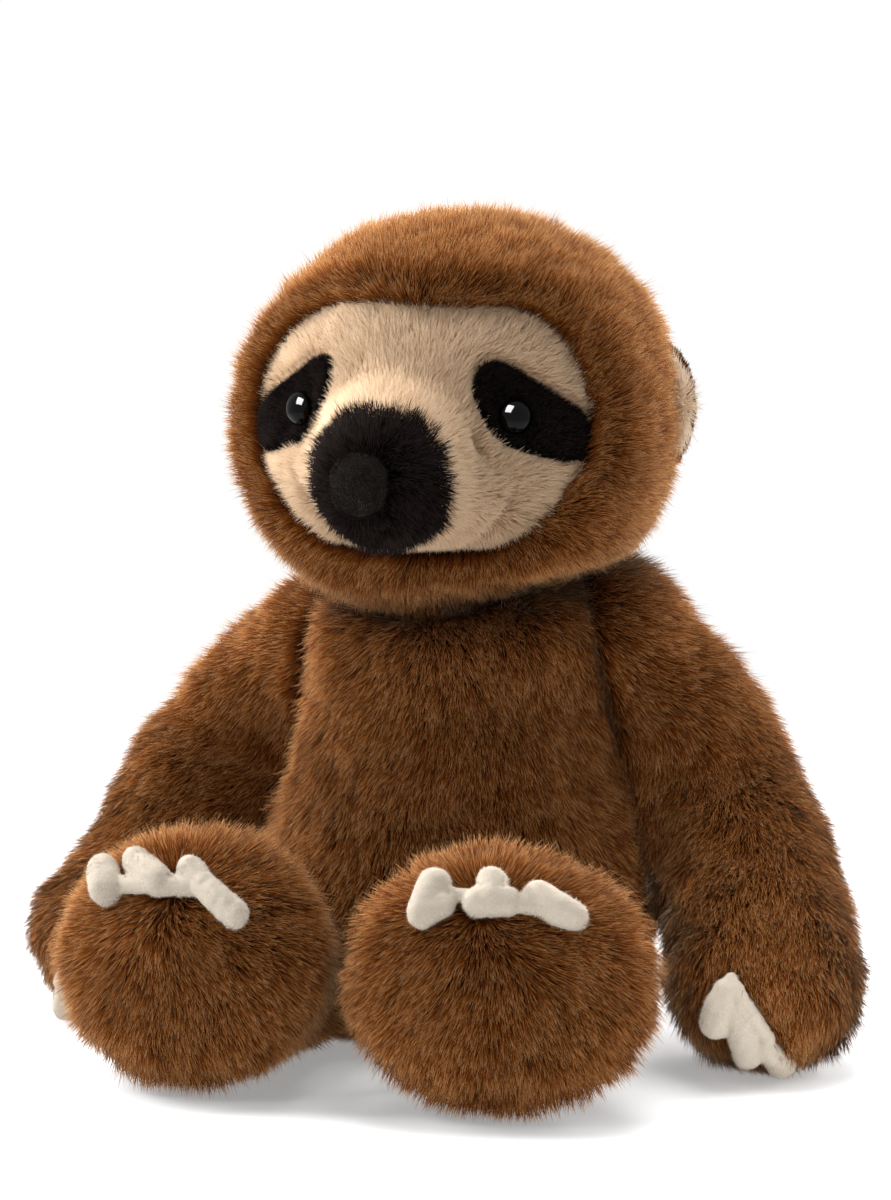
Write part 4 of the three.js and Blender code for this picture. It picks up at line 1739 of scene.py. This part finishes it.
@dataclass
class Arm:
    """An arm cover in two sewn halves, with its claws."""

    side: Side
    cover: Cover = Cover()
    claw_turn: float = 5.0
    claw_stand: float = 0.75
    stations: tuple[Place, ...] = (
        (0.050, 0.014, 0.134), (0.070, 0.020, 0.126), (0.0845, 0.028, 0.096),
        (0.1055, 0.004, 0.062), (0.1195, -0.020, 0.034),
    )
    station_reach: float = 0.022
    fan: float = 8.0
    seam_depth: float = 0.020
    seam_slant: float = 0.55
    seam_height: float = 0.09
    top_height: Ease = (0.125, 0.150)
    top_out: Ease = (0.058, 0.084)
    right_top_share: float = 0.3
    shoulder_height: Ease = (0.115, 0.140)
    shoulder_out: Ease = (0.066, 0.086)
    shoulder_share: float = -0.45
    palm_drop: Ease = (-0.050, -0.018)
    palm_share: float = 0.55
    upper_height: Range = (0.085, 0.098, -0.128, -0.112)
    upper_share: float = 0.8
    elbow_height: Range = (0.040, 0.055, -0.085, -0.070)
    elbow_share: float = -0.75
    elbow_out: Ease = (0.08, 0.10)

    def flow(self, points: Points) -> Points:
        """Comb the pile down the arm, from the shoulder to the hand.

        Args:
            points: Where.

        Returns:
            The way of the pile.
        """
        stations = np.array(self.stations) * np.array([self.side.value, 1, 1]) + np.array([0, AXIS_Y, 0])
        middles = (stations[1:] + stations[:-1]) / 2
        runs = unit(stations[1:] - stations[:-1])
        gaps = np.linalg.norm(points[:, None] - middles, axis=2)
        weights = np.exp(-((gaps / self.station_reach) ** 2)) + TINY
        way = (weights[..., None] * runs).sum(1) / weights.sum(1, keepdims=True)
        nearest = stations[np.argmin(np.linalg.norm(points[:, None] - stations, axis=2), axis=1)]
        return way + (points - nearest) * self.fan

    def fuller(self, points: Points) -> Points:
        """How much fuller the cover is where the shoulder meets the head, and round the palm.

        Args:
            points: Where.

        Returns:
            Shares from 0 to 1.
        """
        out, height = np.abs(points[:, 0]), points[:, 2]
        top = eased(height, *self.top_height) * (1 - eased(out, *self.top_out))
        seam = eased(height, *self.shoulder_height)
        shoulder = self.shoulder_share * seam * eased(out, *self.shoulder_out)
        palm = eased(-height, *self.palm_drop)
        if self.side is Side.LEFT:
            return np.maximum(top, self.palm_share * palm) + shoulder
        low, high = self.upper_height[:2], self.upper_height[2:]
        upper = self.upper_share * eased(height, *low) * eased(-height, *high)
        low, high = self.elbow_height[:2], self.elbow_height[2:]
        elbow = self.elbow_share * eased(height, *low) * eased(-height, *high)
        return self.right_top_share * top + shoulder + (upper + elbow) * eased(out, *self.elbow_out)

    def build(self) -> None:
        """Make the two halves and the claws."""
        side = self.side
        body = side.named("arm")
        torso = Neighbours("body_cover")
        solids = [side.named("arm_cover"), side.named("arm_stuffing")]
        skin = self.cover.skin(solids, torso, self.fuller)
        slant = lambda p: self.seam_slant * np.maximum(0, self.seam_height - p[:, 2])
        split = lambda p: (p[:, 1] - AXIS_Y) < self.seam_depth - slant(p)
        halves = {"arm_front": split, "arm_back": lambda p: ~split(p)}
        pressed = Neighbours("body_cover", side.named("hand_claws"))
        for k, (name, keep) in enumerate(halves.items()):
            coat = Coat(LONG_PILE, self.flow, 300 + k, against=pressed)
            piece = furred(side.named(name), skin.panel(keep), coat)
            finish_piece(piece, BROWN_PLUSH, body, solids if k == 0 else [])
        Claws(
            side.named("hand_claws"), body, HAND_LOBES, self.claw_turn * side.value, side.value,
            Neighbours(side.named("arm_cover")), stand=self.claw_stand,
        ).build()


@dataclass
class Leg:
    """A leg cover, its sole and its claws."""

    side: Side
    cover: Cover = Cover()
    turn: float = 9.46
    claw_shift: float = 0.004
    loll: float = 0.0022
    loll_reach: Ease = (0.06, 0.12)
    outer_share: float = 0.6
    outer_side: Ease = (0.075, 0.1)
    heart: Place = (0.0555, -0.132, 0.076)
    sole_depth: float = -0.121
    sole_slant: float = 0.1
    sole_height: float = 0.04

    def flow(self, points: Points) -> Points:
        """Comb the pile away from the claws, over the sole and back along the leg.

        Args:
            points: Where.

        Returns:
            The way of the pile.
        """
        side, depth, height = self.heart
        return points - np.array([self.side.value * side, AXIS_Y + depth, height])

    def build(self) -> None:
        """Make the upper, the sole and the claws."""
        side = self.side
        body = side.named("leg")
        torso = Neighbours("body_cover")
        solids = [side.named(n) for n in ("leg_cover", "leg_stuffing", "foot_sole", "foot_pellet_bag")]
        outer = self.outer_share if side is Side.LEFT else 0.0
        skin = self.cover.skin(solids, torso, lambda p: outer * eased(np.abs(p[:, 0]), *self.outer_side))
        skin.points[:, 0] += self.loll * eased(AXIS_Y - skin.points[:, 1], *self.loll_reach)
        slant = lambda p: self.sole_slant * (p[:, 2] - self.sole_height)
        front = lambda p: p[:, 1] < AXIS_Y + self.sole_depth + slant(p)
        pressed = Neighbours("body_cover", side.named("foot_claws"))
        coat = Coat(LONG_PILE, self.flow, 400, against=pressed)
        piece = furred(side.named("sole_plush"), skin.panel(front), coat)
        finish_piece(piece, BROWN_PLUSH, body, solids[2:])
        coat = Coat(LONG_PILE, self.flow, 401, against=pressed)
        piece = furred(side.named("leg_plush"), skin.panel(lambda p: ~front(p)), coat)
        finish_piece(piece, BROWN_PLUSH, body, solids[:2])
        Claws(
            side.named("foot_claws"), body, FOOT_LOBES[side], self.turn * side.value, 1.0,
            Neighbours(solids[0], solids[2]), self.claw_shift,
        ).build()


@dataclass(frozen=True)
class Lamp:
    """A square soft lamp. Its power is in watts and its beam's spread in degrees."""

    name: str
    place: Place
    size: float
    power: float
    in_eyes: bool = False
    lights: bool = True
    aim: Place | None = None
    spread: float = 180.0


LAMPS = (
    Lamp("key", (-0.75, -1.35, 1.15), 0.45, 8.4),
    Lamp("left", (-1.45, -0.10, 1.00), 1.1, 55),
    Lamp("right", (0.95, 1.10, 0.60), 1.1, 38),
    Lamp("top", (0.03, 0.30, 1.60), 1.1, 34),
    Lamp("hand", (0.55, -0.56, 0.14), 0.08, 0.024, aim=(0.125, 0.0, 0.040), spread=16),
    Lamp("window", (-0.31, -0.94, 1.35), 1.2, 480, in_eyes=True, lights=False),
)


@dataclass
class Studio:
    """The floor, the lamps and the camera."""

    azimuth: float = 20.0
    elevation: float = 8.0
    distance: float = 1.8
    lens: float = 156.5
    target: Place = (0.0, 0.030, 0.153)
    floor_size: float = 40.0
    floor_drop: float = 0.0004
    floor_shade: float = 0.9
    floor_fade: Ease = (0.25, 0.9)
    floor_glow: float = 0.3
    sky: float = 0.3

    def build(self) -> None:
        """Set up the studio."""
        scene = bpy.context.scene
        scene.view_settings.view_transform = "Standard"
        self.build_camera(scene)
        self.build_floor()
        self.build_world(scene)
        for lamp in LAMPS:
            self.add_lamp(lamp)

    def build_camera(self, scene: bpy.types.Scene) -> None:
        """Place the camera.

        Args:
            scene: The scene.
        """
        data = bpy.data.cameras.new("camera")
        data.lens = self.lens
        data.sensor_width = 36
        data.clip_end = 20
        camera = bpy.data.objects.new("camera", data)
        scene.collection.objects.link(camera)
        a, e = math.radians(self.azimuth), math.radians(self.elevation)
        back = Vector((math.sin(a) * math.cos(e), -math.cos(a) * math.cos(e), math.sin(e)))
        camera.location = Vector(self.target) + back * self.distance
        camera.rotation_euler = (-back).to_track_quat("-Z", "Y").to_euler()
        scene.camera = camera

    def build_floor(self) -> None:
        """Lay a plain pale floor that shows white where nothing shades it."""
        deselect()
        bpy.ops.mesh.primitive_plane_add(size=self.floor_size, location=(0, 0, -self.floor_drop))
        floor = bpy.context.active_object
        floor.name = "floor"
        material = bpy.data.materials.new("pale_floor")
        material.use_nodes = True
        nodes, links = material.node_tree.nodes, material.node_tree.links
        shader = nodes["Principled BSDF"]
        shader.inputs["Base Color"].default_value = (self.floor_shade,) * 3 + (1,)
        shader.inputs["Roughness"].default_value = 0.9
        shader.inputs["Specular IOR Level"].default_value = 0.0
        where = nodes.new("ShaderNodeTexCoord")
        reach = nodes.new("ShaderNodeVectorMath")
        reach.operation = "LENGTH"
        links.new(where.outputs["Object"], reach.inputs[0])
        fade = nodes.new("ShaderNodeMapRange")
        fade.interpolation_type = "SMOOTHSTEP"
        fade.inputs["From Min"].default_value = self.floor_fade[0]
        fade.inputs["From Max"].default_value = self.floor_fade[1]
        fade.inputs["To Min"].default_value = self.floor_glow
        links.new(reach.outputs["Value"], fade.inputs["Value"])
        white = nodes.new("ShaderNodeEmission")
        blend = nodes.new("ShaderNodeMixShader")
        links.new(fade.outputs["Result"], blend.inputs[0])
        links.new(shader.outputs[0], blend.inputs[1])
        links.new(white.outputs[0], blend.inputs[2])
        links.new(blend.outputs[0], nodes["Material Output"].inputs["Surface"])
        floor.data.materials.append(material)

    def build_world(self, scene: bpy.types.Scene) -> None:
        """Light the scene from all round, with a white background to the camera.

        Args:
            scene: The scene.
        """
        world = bpy.data.worlds.new("studio")
        world.use_nodes = True
        nodes, links = world.node_tree.nodes, world.node_tree.links
        shade = nodes["Background"]
        shade.inputs["Color"].default_value = (1, 1, 1, 1)
        path = nodes.new("ShaderNodeLightPath")
        seen = path.outputs["Is Camera Ray"]
        for ray in ("Is Transmission Ray", "Is Glossy Ray"):
            either = nodes.new("ShaderNodeMath")
            either.operation = "MAXIMUM"
            links.new(seen, either.inputs[0])
            links.new(path.outputs[ray], either.inputs[1])
            seen = either.outputs[0]
        level = nodes.new("ShaderNodeMapRange")
        level.inputs["To Min"].default_value = self.sky
        level.inputs["To Max"].default_value = 1.0
        links.new(seen, level.inputs["Value"])
        links.new(level.outputs["Result"], shade.inputs["Strength"])
        scene.world = world

    def add_lamp(self, lamp: Lamp) -> None:
        """Hang a lamp.

        Args:
            lamp: The lamp. Without an aim, it looks at the middle of the toy.
        """
        data = bpy.data.lights.new(lamp.name, "AREA")
        data.size = lamp.size
        data.energy = lamp.power
        data.spread = math.radians(lamp.spread)
        hung = bpy.data.objects.new(lamp.name, data)
        bpy.context.scene.collection.objects.link(hung)
        hung.location = lamp.place
        hung.visible_glossy = lamp.in_eyes
        hung.visible_diffuse = lamp.lights
        way = Vector(lamp.aim or self.target) - Vector(lamp.place)
        hung.rotation_euler = way.to_track_quat("-Z", "Y").to_euler()


def main() -> None:
    """Build the toy's looks and the studio, and report each piece."""
    logging.basicConfig(level=logging.INFO, format="%(name)s %(message)s")
    Studio().build()
    Torso().build()
    Head().build()
    for side in Side:
        Arm(side).build()
        Leg(side).build()
    for side in Side:
        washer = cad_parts[side.named("eye_washer")]
        washer.data.materials.clear()
        washer.data.materials.append(NYLON.material())
    shown = [o for o in bpy.data.objects if o.type == "MESH" and not o.hide_render]
    LOG.info("%d faces in all", sum(len(o.data.polygons) for o in shown))


if __name__ == "__main__":
    main()
